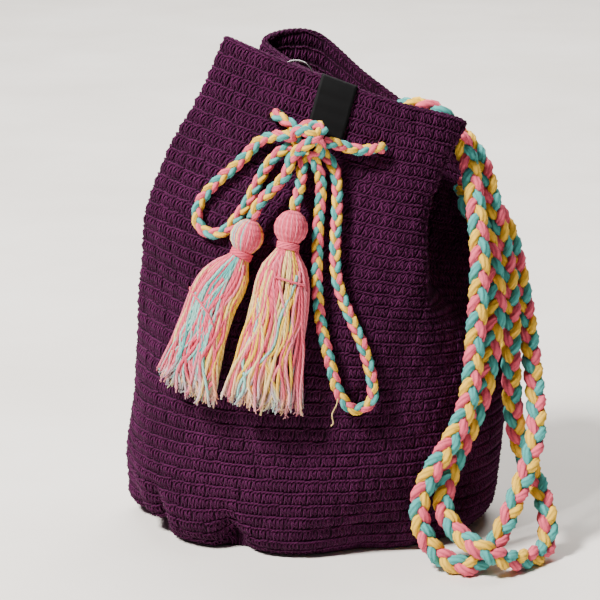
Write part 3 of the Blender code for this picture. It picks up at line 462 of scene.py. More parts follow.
def placed(piece: Thing, stands_for: tuple[str, ...] = (), body: Body = Body.BAG) -> Thing:
    """Hands a finished piece to the frame.

    Args:
        piece: The object.
        stands_for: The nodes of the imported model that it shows.
        body: The body that it moves with.

    Returns:
        The object.
    """
    if stands_for:
        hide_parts(*stands_for)
    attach(piece, body.value)
    piece.data.calc_loop_triangles()
    LOG.info("%s: %d triangles", piece.name, len(piece.data.loop_triangles))
    return piece


class Graph:
    """Writes the nodes of a tree; in a group, given has its inputs and sink takes its output."""

    given: bpy.types.bpy_prop_collection
    sink: bpy.types.Node

    def __init__(self, tree: bpy.types.NodeTree, kind: str = "Shader") -> None:
        """Takes the tree and its kind, Shader or Geometry."""
        self.tree = tree
        self.kind = kind

    @classmethod
    def group(cls, name: str, kind: str, inputs: dict[str, str], result: tuple[str, str]) -> "Graph":
        """Starts a group of nodes.

        Args:
            name: The group's name.
            kind: Shader or Geometry.
            inputs: The kind of each named input.
            result: The name and the kind of its output.

        Returns:
            The writer.
        """
        graph = cls(bpy.data.node_groups.new(name, kind + "NodeTree"), kind)
        for label, sort in inputs.items():
            graph.tree.interface.new_socket(label, in_out="INPUT", socket_type="NodeSocket" + sort)
        graph.tree.interface.new_socket(result[0], in_out="OUTPUT", socket_type="NodeSocket" + result[1])
        graph.given = graph.tree.nodes.new("NodeGroupInput").outputs
        graph.sink = graph.tree.nodes.new("NodeGroupOutput")
        return graph

    def fill(self, node: bpy.types.Node, links: dict) -> None:
        """Gives a node its inputs.

        Args:
            node: The node.
            links: For each input, by name or place, the socket or the value that it gets.
        """
        for key, value in links.items():
            socket = node.inputs[key] if isinstance(key, int) else next(
                entry for entry in node.inputs if entry.name == key and entry.enabled)
            if isinstance(value, Socket):
                self.tree.links.new(value, socket)
            else:
                socket.default_value = value

    def node(self, kind: str, links: dict | None = None, **settings: object) -> bpy.types.Node:
        """Adds a node.

        Args:
            kind: Its type, without the tree's kind and the word Node where it has the tree's kind.
            links: What its inputs get.
            settings: Its own settings.

        Returns:
            The node.
        """
        made = self.tree.nodes.new(kind if "Node" in kind else f"{self.kind}Node{kind}")
        for label, value in settings.items():
            setattr(made, label, value)
        self.fill(made, links or {})
        return made

    def result(self, kind: str, links: dict | None = None, outlet: str = "", **settings: object) -> Socket:
        """Adds a node and reads one of its outputs.

        Args:
            kind: The node's type.
            links: What its inputs get.
            outlet: The output's name, or nothing for the first one in use.
            settings: The node's own settings.

        Returns:
            The output.
        """
        made = self.node(kind, links, **settings)
        return next(entry for entry in made.outputs if entry.enabled and outlet in ("", entry.name))

    def math(self, operation: str, *values: object) -> Socket:
        """Adds a sum of numbers."""
        return self.result("ShaderNodeMath", dict(enumerate(values)), operation=operation)

    def times(self, *values: object) -> Socket:
        """Multiplies numbers, from the first one on."""
        return reduce(lambda first, second: self.math("MULTIPLY", first, second), values)

    def fit(self, value: Socket, factor: object, shift: object) -> Socket:
        """Multiplies a number and adds another one to it."""
        return self.math("MULTIPLY_ADD", value, factor, shift)

    def vector(self, operation: str, *values: object) -> Socket:
        """Adds a sum of vectors; a scale takes its number last."""
        keys = (0, "Scale") if operation == "SCALE" else (0, 1)
        return self.result("ShaderNodeVectorMath", dict(zip(keys, values)), operation=operation)

    def xyz(self, *parts: object) -> Socket:
        """Joins three numbers to a vector."""
        return self.result("ShaderNodeCombineXYZ", dict(enumerate(parts)))

    def split(self, vector: Socket) -> list[Socket]:
        """Splits a vector into its three numbers."""
        return list(self.node("ShaderNodeSeparateXYZ", {0: vector}).outputs)

    def above(self, vector: Socket, floor: object) -> Socket:
        """Lifts a place that lies lower than a height."""
        x, y, z = self.split(vector)
        return self.xyz(x, y, self.math("MAXIMUM", z, floor))

    def named(self, label: str, kind: str = "FLOAT_VECTOR") -> Socket:
        """Reads an attribute in a geometry tree."""
        return self.result("InputNamedAttribute", {"Name": label}, data_type=kind)

    def stored(self, geometry: Socket, label: str, value: Socket, kind: str = "FLOAT_VECTOR",
               domain: str = "POINT") -> Socket:
        """Writes an attribute in a geometry tree."""
        links = {"Geometry": geometry, "Name": label, "Value": value}
        return self.result("StoreNamedAttribute", links, data_type=kind, domain=domain)

    def finish(self, value: Socket) -> bpy.types.NodeTree:
        """Joins the result to the output and hands over the tree."""
        self.tree.links.new(value, self.sink.inputs[0])
        return self.tree

    def surfaced(self, mesh: Socket) -> bpy.types.NodeTree:
        """Gives a geometry tree's mesh its material and finishes the tree.

        Args:
            mesh: The mesh.

        Returns:
            The tree.
        """
        mesh = self.result("SetShadeSmooth", {"Geometry": mesh, "Shade Smooth": True})
        mesh = self.result("RealizeInstances", {"Geometry": mesh})
        return self.finish(self.result("SetMaterial", {"Geometry": mesh, "Material": self.given["Material"]}))


def grown(name: str, guide: Thing, tree: bpy.types.NodeTree, values: dict[str, object]) -> Thing:
    """Runs a geometry tree on a guide and keeps the result as a plain mesh.

    Args:
        name: The new object's name.
        guide: The guide, which is removed.
        tree: The tree.
        values: The tree's inputs, by name.

    Returns:
        The object that grew.
    """
    modifier = guide.modifiers.new(tree.name, "NODES")
    modifier.node_group = tree
    for item in tree.interface.items_tree:
        if item.item_type == "SOCKET" and item.in_out == "INPUT" and item.name in values:
            modifier[item.identifier] = values[item.name]
    bpy.context.view_layer.update()
    depsgraph = bpy.context.evaluated_depsgraph_get()
    mesh = bpy.data.meshes.new_from_object(guide.evaluated_get(depsgraph), preserve_all_data_layers=True,
                                           depsgraph=depsgraph)
    mesh.name = name
    bpy.data.objects.remove(guide, do_unlink=True)
    return shown(name, mesh)


GEOMETRY = ("Geometry", "Geometry")
SECTION_INPUTS = {"Geometry": "Geometry", "Material": "Material", "Sides": "Int", "Lobes": "Float",
                  "Groove": "Float", "Twist": "Float"}
DYE_INPUTS = ("First", "Second", "Third")


def yarn_tree() -> bpy.types.NodeTree:
    """Writes the tree that sweeps a lobed section along each guide line.

    Returns:
        The tree.
    """
    graph = Graph.group("yarn_sweep", "Geometry", SECTION_INPUTS, GEOMETRY)
    given = graph.given
    along = graph.named("along", "FLOAT")
    curve = graph.result("MeshToCurve", {"Mesh": given["Geometry"]})
    tilt = graph.times(given["Twist"], FULL_TURN, along)
    curve = graph.result("SetCurveTilt", {"Curve": curve, "Tilt": tilt})
    ring = graph.result("CurvePrimitiveCircle", {"Resolution": given["Sides"], "Radius": 1.0})
    place = graph.result("InputPosition")
    ring = graph.stored(ring, "section", place)
    share = graph.math("DIVIDE", graph.result("InputIndex"), given["Sides"])
    turn = graph.times(share, FULL_TURN, given["Lobes"])
    dip = graph.fit(graph.math("COSINE", turn), -0.5, 0.5)
    reach = graph.math("SUBTRACT", 1.0, graph.times(given["Groove"], dip))
    ring = graph.result("SetPosition", {"Geometry": ring, "Position": graph.vector("SCALE", place, reach)})
    mesh = graph.result("CurveToMesh", {"Curve": curve, "Profile Curve": ring, "Fill Caps": True,
                                        "Scale": graph.named("thick", "FLOAT")})
    x, y, _ = graph.split(graph.named("section"))
    return graph.surfaced(graph.stored(mesh, "fibre", graph.xyz(along, x, y)))


def braid_tree(sweep: bpy.types.NodeTree) -> bpy.types.NodeTree:
    """Writes the tree that lays three strands over and under each other along a guide line.

    Args:
        sweep: The tree that gives each strand its section.

    Returns:
        The tree.
    """
    inputs = SECTION_INPUTS | dict.fromkeys(("Pitch", "Swing", "Lift", "Slide"), "Float")
    graph = Graph.group("three_strand_braid", "Geometry", inputs | dict.fromkeys(DYE_INPUTS, "Color"), GEOMETRY)
    given = graph.given
    join = graph.node("JoinGeometry")
    run = graph.math("DIVIDE", graph.math("ADD", graph.named("along", "FLOAT"), given["Slide"]), given["Pitch"])
    for index, label in enumerate(DYE_INPUTS):
        phase = graph.times(graph.math("ADD", run, index / 3.0), FULL_TURN)
        swing = graph.times(graph.math("SINE", phase), given["Swing"])
        lift = graph.times(graph.math("SINE", graph.times(phase, 2.0)), given["Lift"])
        offset = graph.vector("ADD", graph.vector("SCALE", graph.named("side"), swing),
                              graph.vector("SCALE", graph.named("out"), lift))
        spot = graph.vector("ADD", graph.result("InputPosition"), offset)
        spot = graph.above(spot, graph.named("thick", "FLOAT"))
        strand = graph.result("SetPosition", {"Geometry": given["Geometry"], "Position": spot})
        graph.fill(join, {"Geometry": graph.stored(strand, "dye", given[label], "FLOAT_COLOR")})
    links = {label: given[label] for label in SECTION_INPUTS} | {"Geometry": join.outputs[0]}
    return graph.finish(graph.result("Group", links, node_tree=sweep))


@dataclass(frozen=True)
class Cell:
    """The size of one stitch on the fabric and its place there, in millimetres."""

    width: float = 4.5
    height: float = 8.9
    columns: int = 138
    rows: int = 36
    spare_columns: int = 3
    spare_rows: float = 1.5
    sunk: float = -0.35
    # The ranges of the stitches' turn in radians, size and nudge, in each direction.
    varied: tuple = (
        ((-0.05, 0.05), (-0.045, 0.045), (-0.11, 0.11)),
        ((0.97, 1.10), (0.95, 1.06), (0.86, 1.14)),
        ((-0.18, 0.18), (-0.18, 0.18), (-0.12, 0.12)),
    )


CELL = Cell()
MILLIMETRE = 0.001
# How far the inner stitches' middles lie behind the sheet, how high off the floor the lowest stitch
# stays, and the distance between the points of a loose yarn.
INNER_FACE = 0.0031
FLOOR_CLEARANCE = 0.0004
LOOSE_STEP = 0.0015


def crochet_tree() -> bpy.types.NodeTree:
    """Writes the tree that puts a stitch on each point and bends the stitches onto the fabric.

    Returns:
        The tree.
    """
    inputs = {"Geometry": "Geometry", "Material": "Material", "Stitch": "Object", "Fabric": "Object",
              "Seed": "Int", "Inside": "Float"}
    graph = Graph.group("crochet", "Geometry", inputs, GEOMETRY)
    given = graph.given
    shifts = iter(range(1, 11))

    def varied(low: float, high: float) -> Socket:
        """Picks a number for each stitch."""
        links = {"Seed": graph.math("ADD", given["Seed"], next(shifts)), "Min": low, "Max": high}
        return graph.result("FunctionNodeRandomValue", links, data_type="FLOAT")

    def sampled(value: Socket) -> Socket:
        """Reads a value of the fabric where a point of a stitch lies."""
        links = {"Mesh": fabric, "Value": value, "UV Map": graph.named("sheet"), "Sample UV": where}
        return graph.result("SampleUVSurface", links, data_type="FLOAT_VECTOR")

    turn, size, nudge = (graph.xyz(*(varied(*limits) for limits in three)) for three in CELL.varied)
    stitch = graph.result("ObjectInfo", {"Object": given["Stitch"]}, "Geometry")
    spots = graph.result("SetPosition", {"Geometry": given["Geometry"], "Offset": nudge})
    links = {"Points": spots, "Instance": stitch, "Rotation": turn, "Scale": size}
    laid = graph.stored(graph.result("InstanceOnPoints", links), "tone", varied(0.0, 1.0), "FLOAT", "INSTANCE")
    mesh = graph.result("RealizeInstances", {"Geometry": laid})
    fabric = graph.result("ObjectInfo", {"Object": given["Fabric"]}, "Geometry")
    place = graph.result("InputPosition")
    x, y, z = graph.split(place)
    across, upward = (
        graph.math("DIVIDE", graph.math("ADD", graph.math("DIVIDE", run, size), spare), count + 2 * spare)
        for run, size, spare, count in ((x, CELL.width, CELL.spare_columns, CELL.columns),
                                        (y, CELL.height, CELL.spare_rows, CELL.rows)))
    where = graph.xyz(across, upward, 0.0)
    depth = graph.times(z, MILLIMETRE)
    outer = graph.times(depth, graph.math("SUBTRACT", 1.0, given["Inside"]))
    inner = graph.times(graph.fit(depth, -1.0, -INNER_FACE), given["Inside"])
    offset = graph.vector("SCALE", sampled(graph.named("out")), graph.math("ADD", outer, inner))
    bent = graph.above(graph.vector("ADD", sampled(place), offset), FLOOR_CLEARANCE)
    mesh = graph.result("SetPosition", {"Geometry": mesh, "Position": bent})
    turned = graph.math("GREATER_THAN", given["Inside"], 0.5)
    return graph.surfaced(graph.result("FlipFaces", {"Mesh": mesh, "Selection": turned}))


def ply_group() -> bpy.types.NodeTree:
    """Writes the shared group that gives the height of a yarn's plies from its own directions.

    Returns:
        The group.
    """
    inputs = {"Fibre": "Vector", "Plies": "Float", "Pitch": "Float"}
    graph = Graph.group("plied_yarn", "Shader", inputs, ("Height", "Float"))
    along, x, y = graph.split(graph.given["Fibre"])
    turn = graph.times(graph.math("ARCTAN2", y, x), graph.given["Plies"])
    run = graph.times(graph.math("DIVIDE", along, graph.given["Pitch"]), FULL_TURN)
    wave = graph.math("ABSOLUTE", graph.math("SINE", graph.times(graph.math("ADD", turn, run), 0.5)))
    return graph.finish(graph.math("POWER", wave, 0.6))


class Paint(Graph):
    """Writes a material."""

    def __init__(self, name: str) -> None:
        """Starts the material of that name."""
        self.material = bpy.data.materials.new(name)
        self.material.use_nodes = True
        super().__init__(self.material.node_tree)

    def attribute(self, label: str, outlet: str) -> Socket:
        """Reads an attribute of the mesh."""
        return self.result("Attribute", None, outlet, attribute_name=label)

    def plied(self, group: bpy.types.NodeTree, plies: float, pitch: float) -> Socket:
        """Reads the height of a yarn's plies from the shared group."""
        links = {"Fibre": self.attribute("fibre", "Vector"), "Plies": plies, "Pitch": pitch}
        return self.result("Group", links, node_tree=group)

    def noise(self, scale: float, detail: float, rough: float = 0.5) -> Socket:
        """Adds noise that stays on the object."""
        links = {"Vector": self.result("TexCoord", None, "Object"), "Scale": scale, "Detail": detail}
        return self.result("TexNoise", links | {"Roughness": rough}, "Fac")

    def ramp(self, level: Socket, *stops: tuple[float, Colour]) -> Socket:
        """Turns a number into a colour.

        Args:
            level: The number.
            stops: The places and colours of the ramp, its two ends first.

        Returns:
            The colour.
        """
        made = self.node("ValToRGB", {"Fac": level})
        elements = made.color_ramp.elements
        for index, (place, colour) in enumerate(stops):
            stop = elements[index] if index < 2 else elements.new(place)
            stop.position = place
            stop.color = (*colour, 1.0)
        return made.outputs["Color"]

    def done(self, links: dict, relief: Socket | None = None, strength: float = 0.0,
             distance: float = 0.0) -> bpy.types.Material:
        """Fills the shader.

        Args:
            links: What its inputs get.
            relief: The height of the surface, where it has any.
            strength: The share of the relief that shows.
            distance: The height of the full relief.

        Returns:
            The material.
        """
        if relief is not None:
            bump = self.result("Bump", {"Height": relief, "Strength": strength, "Distance": distance})
            links = links | {"Normal": bump}
        self.fill(self.tree.nodes["Principled BSDF"], links)
        return self.material


def dull(rough: float, specular: float, sheen: float = 0.0, sheen_rough: float = 0.5) -> dict[str, float]:
    """Lists the shader's values for a dull surface."""
    return {"Roughness": rough, "Specular IOR Level": specular, "Sheen Weight": sheen,
            "Sheen Roughness": sheen_rough}


@dataclass(frozen=True)
class YarnFinish:
    """Soft plied yarn, dyed by its own attribute."""

    name: str
    plies: float
    pitch: float
    groove_shade: float = 0.55
    bump: float = 0.0003

    def build(self, group: bpy.types.NodeTree) -> bpy.types.Material:
        """Writes the material.

        Args:
            group: The shared group of plied yarn.

        Returns:
            The material.
        """
        paint = Paint(self.name)
        height = paint.plied(group, self.plies, self.pitch)
        fluff = paint.noise(scale=1400.0, detail=3.0, rough=0.6)
        patch = paint.noise(scale=130.0, detail=2.0)
        # The dye is darkened in the grooves between plies by the groove shade share: painted shade; the fluff
        # and patch noises add random tone.
        shade = paint.times(paint.fit(height, factor=1.0 - self.groove_shade, shift=self.groove_shade),
                            paint.fit(fluff, factor=0.5, shift=0.78), paint.fit(patch, factor=0.3, shift=0.87))
        colour = paint.vector("SCALE", paint.attribute("dye", "Color"), shade)
        links = {"Base Color": colour} | dull(rough=0.85, specular=0.12, sheen=0.05)
        return paint.done(links, paint.fit(fluff, factor=0.45, shift=height), strength=0.8, distance=self.bump)


@dataclass(frozen=True)
class CrochetFinish:
    """Dark cotton crochet, with painted shade in the ply grooves and a painted highlight on the ply ridges of
    each stitch.
    """

    name: str
    # The deep colour is painted shade in the ply grooves and on the ground behind the stitches; the body is the
    # yarn's own colour; the lightest colour is a painted highlight on the ply ridges.
    deep: Colour = (0.011, 0.0007, 0.0076)
    body: Colour = (0.047, 0.0037, 0.032)
    ridge_highlight: Colour = (0.116, 0.016, 0.082)
    plies: float = 3.0
    pitch: float = 0.0052
    bump: float = 0.0006

    def build(self, group: bpy.types.NodeTree) -> bpy.types.Material:
        """Writes the material.

        Args:
            group: The shared group of plied yarn.

        Returns:
            The material.
        """
        paint = Paint(self.name)
        height = paint.plied(group, self.plies, self.pitch)
        fluff = paint.noise(scale=1700.0, detail=3.0, rough=0.65)
        # The ramp's level follows the plies' height, from painted shade in their grooves to a painted highlight
        # on their ridges; the stitch's tone and the patch noise add random tone.
        level = paint.times(height, paint.fit(fluff, factor=1.1, shift=0.2))
        level = paint.math("ADD", level, paint.fit(paint.attribute("tone", "Fac"), factor=0.14, shift=-0.07))
        patch = paint.noise(scale=24.0, detail=2.0)
        level = paint.math("ADD", level, paint.fit(patch, factor=0.30, shift=-0.15))
        colour = paint.ramp(level, (0.10, self.deep), (1.0, self.ridge_highlight), (0.62, self.body))
        links = {"Base Color": colour} | dull(rough=0.8, specular=0.10, sheen=0.02, sheen_rough=0.45)
        return paint.done(links, paint.fit(fluff, factor=0.6, shift=height), strength=0.85, distance=self.bump)


@dataclass(frozen=True)
class WovenFinish:
    """Fine black woven ribbon."""

    name: str
    colour: Colour = (0.0020, 0.0021, 0.0026)
    warp_pitch: float = 0.00055
    weft_pitch: float = 0.00042
    bump: float = 0.00012

    def build(self) -> bpy.types.Material:
        """Writes the material.

        Returns:
            The material.
        """
        paint = Paint(self.name)
        across, upward, _ = paint.split(paint.result("UVMap", uv_map="weave"))
        warp = paint.math("SINE", paint.times(across, FULL_TURN / self.warp_pitch))
        weft = paint.math("SINE", paint.times(upward, FULL_TURN / self.weft_pitch))
        relief = paint.fit(paint.times(warp, weft), factor=0.5, shift=0.5)
        # The colour follows the weave's relief, darker in its dips and lighter on its crossings: painted shade
        # and painted highlight.
        colour = paint.vector("SCALE", self.colour, paint.fit(relief, factor=0.9, shift=0.6))
        links = {"Base Color": colour} | dull(rough=0.6, specular=0.12)
        return paint.done(links, relief, strength=0.5, distance=self.bump)


@dataclass(frozen=True)
class MetalFinish:
    """Bright nickel plate with fine wear."""

    name: str
    colour: Colour = (0.66, 0.65, 0.62)

    def build(self) -> bpy.types.Material:
        """Writes the material.

        Returns:
            The material.
        """
        paint = Paint(self.name)
        wear = paint.fit(paint.noise(scale=420.0, detail=4.0), factor=0.25, shift=0.1)
        return paint.done({"Roughness": wear, "Base Color": (*self.colour, 1.0), "Metallic": 1.0})


@dataclass(frozen=True)
class GroundFinish:
    """Plain pale plaster, softly mottled."""

    name: str
    light: Colour = (0.88, 0.845, 0.805)
    dark: Colour = (0.78, 0.74, 0.695)

    def build(self) -> bpy.types.Material:
        """Writes the material.

        Returns:
            The material.
        """
        paint = Paint(self.name)
        mottle = paint.noise(scale=5.0, detail=5.0, rough=0.55)
        colour = paint.ramp(mottle, (0.3, self.dark), (0.7, self.light))
        return paint.done({"Base Color": colour} | dull(rough=0.9, specular=0.1))


class Workshop:
    """The trees and materials that the pieces share."""

    def __init__(self) -> None:
        """Writes them all."""
        plies = ply_group()
        self.sweep = yarn_tree()
        self.braid = braid_tree(self.sweep)
        self.crochet = crochet_tree()
        self.crochet_finish = CrochetFinish("crochet_cotton").build(plies)
        self.braid_finish = YarnFinish("braid_cotton", plies=5.0, pitch=0.011, groove_shade=0.58,
                                       bump=0.0004).build(plies)
        self.string_finish = YarnFinish("drawstring_cotton", plies=3.0, pitch=0.006).build(plies)
        self.thread_finish = YarnFinish("tassel_cotton", plies=3.0, pitch=0.0042, groove_shade=0.5).build(plies)
        self.label_finish = WovenFinish("label_weave").build()
        self.metal_finish = MetalFinish("nickel").build()

    def yarns(self, name: str, strands: list[Strand], finish: bpy.types.Material, sides: int = 6) -> Thing:
        """Grows round yarns along their lines, with that many points round them."""
        guide = lines_object(name + "_guide", strands)
        return grown(name, guide, self.sweep, {"Material": finish, "Sides": sides})

    def braided(self, name: str, track: Track, thick: float, dyes: tuple[Colour, ...], values: dict) -> Thing:
        """Grows a braid along a track.

        Args:
            name: The object's name.
            track: The track.
            thick: Its strands' radius.
            dyes: Its strands' dyes.
            values: The braid tree's other inputs, by name.

        Returns:
            The object.
        """
        guide = lines_object(name + "_guide", [Strand(track.points, thick, dyes[0])], track)
        colours = {label: (*dye, 1.0) for label, dye in zip(DYE_INPUTS, dyes)}
        return grown(name, guide, self.braid, values | colours)


class FabricSheet:
    """The bag's fabric as a sheet: stitches round, rows up, and the face between them."""

    WALL = 0.0034
    RINGS_PER_ROW = 4
    POINTS_PER_STITCH = 2
    BASE_SHIFT = -0.0055
    SOURCE_LIFT = 0.0008
    # The round rows: height, half width, half depth, share of the creases and shift to the right.
    ROUND_ROWS = ((0.0, 0.106, 0.073, 1.0, BASE_SHIFT), (0.013, 0.1185, 0.0815, 1.0, BASE_SHIFT),
                  (0.038, 0.1225, 0.0845, 0.35, BASE_SHIFT), (0.085, 0.120, 0.084, 0.0, 0.0))

    def __init__(self) -> None:
        """Works out the sheet's points from the rows."""
        self.around = CELL.columns * self.POINTS_PER_STITCH
        shares = np.array([(fold, step / (4 * steps)) for fold, steps in enumerate(FOLD_STEPS)
                           for step in range(4 * steps)])
        self.fold = shares[:, 0].astype(int)
        self.share = shares[:, 1]
        rows = np.array([self.round_row(*row) for row in self.ROUND_ROWS]
                        + [self.drawn_in_row(*row) for row in UPPER_ROWS])
        params = np.concatenate([[0.0], np.cumsum(np.linalg.norm(np.diff(rows, axis=0), axis=2).mean(axis=1))])
        rings = smooth_through(params, rows, np.linspace(0.0, params[-1], self.RINGS_PER_ROW * CELL.rows + 1))
        grid = np.array([self.evened(ring) for ring in rings])
        low, high = (np.array(corner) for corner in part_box("bag_body"))
        reach = grid + self.SOURCE_LIFT * self.normals(grid)
        middle = (reach.max(axis=(0, 1)) + reach.min(axis=(0, 1))) / 2
        grid[:, :, :2] += ((low + high) / 2 - middle)[:2]
        self.grid = self.wrinkled(grid)
        self.out = self.normals(self.grid)

    def round_row(self, height: float, half_width: float, half_depth: float, crease: float,
                  shift: float) -> Array:
        """Makes a row of the round lower part.

        Args:
            height: Its height.
            half_width: Half its width.
            half_depth: Half its depth.
            crease: The share of the lower edge's creases that it has.
            shift: How far it is moved to the right.

        Returns:
            Its points.
        """
        turns = np.array(FOLD_TURNS)
        steps = (np.roll(turns, -1) - turns) % 360.0
        angle = turns[self.fold] + steps[self.fold] * self.share
        inward = np.zeros(len(angle))
        for centre, deep, half in BASE_CREASES:
            away = np.abs((angle - centre + 180.0) % 360.0 - 180.0)
            inward += crease * deep * np.exp(-((away / half) ** 2))
        turn = np.radians(angle)
        x = shift + (half_width - inward) * np.cos(turn)
        y = (half_depth - inward) * np.sin(turn)
        return np.column_stack([x, y, np.full(len(angle), height)])

    def drawn_in_row(self, height: float, fall: float, outline: Array) -> Array:
        """Makes a row of the upper part, where the mouth is drawn in.

        Args:
            height: Its height at the middle.
            fall: How much it falls to the right.
            outline: Its x, its y and its rise at each fold line.

        Returns:
            Its points.
        """
        points = np.vstack([outline, outline[:1]])
        params = lengths_along(points[:, :2])
        samples = params[self.fold] + np.diff(params)[self.fold] * self.share
        curve = smooth_through(params, points, samples, closed=True)
        return np.column_stack([curve[:, 0], curve[:, 1], height - fall * curve[:, 0] + curve[:, 2]])

    def evened(self, ring: Array) -> Array:
        """Spaces a ring's points evenly, as many as the sheet has round it.

        Args:
            ring: The ring.

        Returns:
            The even ring.
        """
        closed = np.vstack([ring, ring[:1]])
        run = lengths_along(closed)
        return read_along(np.linspace(0.0, run[-1], self.around, endpoint=False), run, closed)

    @staticmethod
    def normals(grid: Array) -> Array:
        """Finds the outward directions of a sheet."""
        along = np.roll(grid, -1, axis=1) - np.roll(grid, 1, axis=1)
        return unit(np.cross(along, np.gradient(grid, axis=0)))

    def wrinkled(self, grid: Array) -> Array:
        """Presses the cloth's soft creases and swellings into the front of a sheet.

        Args:
            grid: The sheet's points.

        Returns:
            The points with the creases.
        """
        still_height, front_gain, front_bias = 0.004, 4, 1.6
        normals = self.normals(grid)
        facing = np.clip(-normals[:, :, 1] * front_gain + front_bias, 0.0, 1.0)
        lift = np.zeros(grid.shape[:2])
        for x, z, tilt, length, width, height in WRINKLES:
            turn = math.radians(tilt)
            across = grid[:, :, 0] - x
            upward = grid[:, :, 2] - z
            along = (across * math.cos(turn) + upward * math.sin(turn)) / length
            aside = (upward * math.cos(turn) - across * math.sin(turn)) / width
            lift += height * np.exp(-(along**2) - aside**2) * facing
        lift *= np.clip(grid[:, :, 2] / still_height, 0.0, 1.0)
        return grid + normals * lift[:, :, None]

    def lattice(self) -> Thing:
        """Makes the mesh that the stitches read their places from.

        Returns:
            The lattice, with spare cells past its seam, its foot and its rim.
        """
        spare = CELL.spare_columns * self.POINTS_PER_STITCH
        more = int(CELL.spare_rows * self.RINGS_PER_ROW)
        columns = np.arange(-spare, self.around + spare + 1) % self.around
        grid, out = self.grid[:, columns], self.out[:, columns]
        steps = np.arange(1, more + 1)[:, None, None]
        below = grid[:1] + (grid[:1] - grid[1:2]) * steps[::-1]
        above = grid[-1:] + (grid[-1:] - grid[-2:-1]) * steps
        points = np.concatenate([below, grid, above])
        facing = np.concatenate([np.repeat(out[:1], more, axis=0), out, np.repeat(out[-1:], more, axis=0)])
        rings, width = points.shape[:2]
        faces = grid_faces(np.arange(rings * width).reshape(rings, width)).reshape(-1, 4)
        made = mesh_piece("fabric_lattice", points, faces.tolist())
        flat = np.stack(np.meshgrid(np.linspace(0, 1, width), np.linspace(0, 1, rings)), axis=-1)
        write_uv(made.data, "sheet", flat.reshape(-1, 2))
        write_layer(made.data, "out", "FLOAT_VECTOR", facing)
        return made


@dataclass
class StitchPattern:
    """One double crochet stitch, in millimetres on a cell of the sheet."""

    post_radius: float = 0.92
    wrap_radius: float = 0.80
    bead_radius: float = 0.86
    post_step: float = 2.6
    posts: tuple = (((0.3, 0.5, -0.7), (1.2, 2.7, 0.45), (1.3, 5.2, 0.50), (2.1, 7.5, -0.5)),
                    ((2.5, 0.5, -0.7), (3.4, 2.7, 0.45), (3.5, 5.2, 0.50), (4.3, 7.5, -0.5)))
    wrap: tuple = ((3.5, 1.3, -0.3), (2.0, 4.2, 1.15), (0.5, 7.1, -0.4))
    beads: tuple = (((-0.3, 7.6, 0.0), (0.8, 8.6, 0.75), (1.9, 8.3, 0.1)),
                    ((1.9, 7.6, 0.0), (3.1, 8.6, 0.75), (4.2, 8.3, 0.1)))

    def build(self, shop: Workshop) -> Thing:
        """Grows the stitch.

        Args:
            shop: The shared trees and materials.

        Returns:
            The stitch.
        """
        lines = [(Track.through(np.array(line), self.post_step, (0, 0, 1)).points, self.post_radius)
                 for line in self.posts]
        lines += [(np.array(self.wrap), self.wrap_radius)]
        lines += [(np.array(line), self.bead_radius) for line in self.beads]
        made = shop.yarns("stitch", [Strand(*line, AUBERGINE) for line in lines], shop.crochet_finish, sides=4)
        fibre = made.data.attributes["fibre"]
        values = np.zeros(len(fibre.data) * 3, dtype=np.float32)
        fibre.data.foreach_get("vector", values)
        values[0::3] *= MILLIMETRE
        fibre.data.foreach_set("vector", values)
        return made


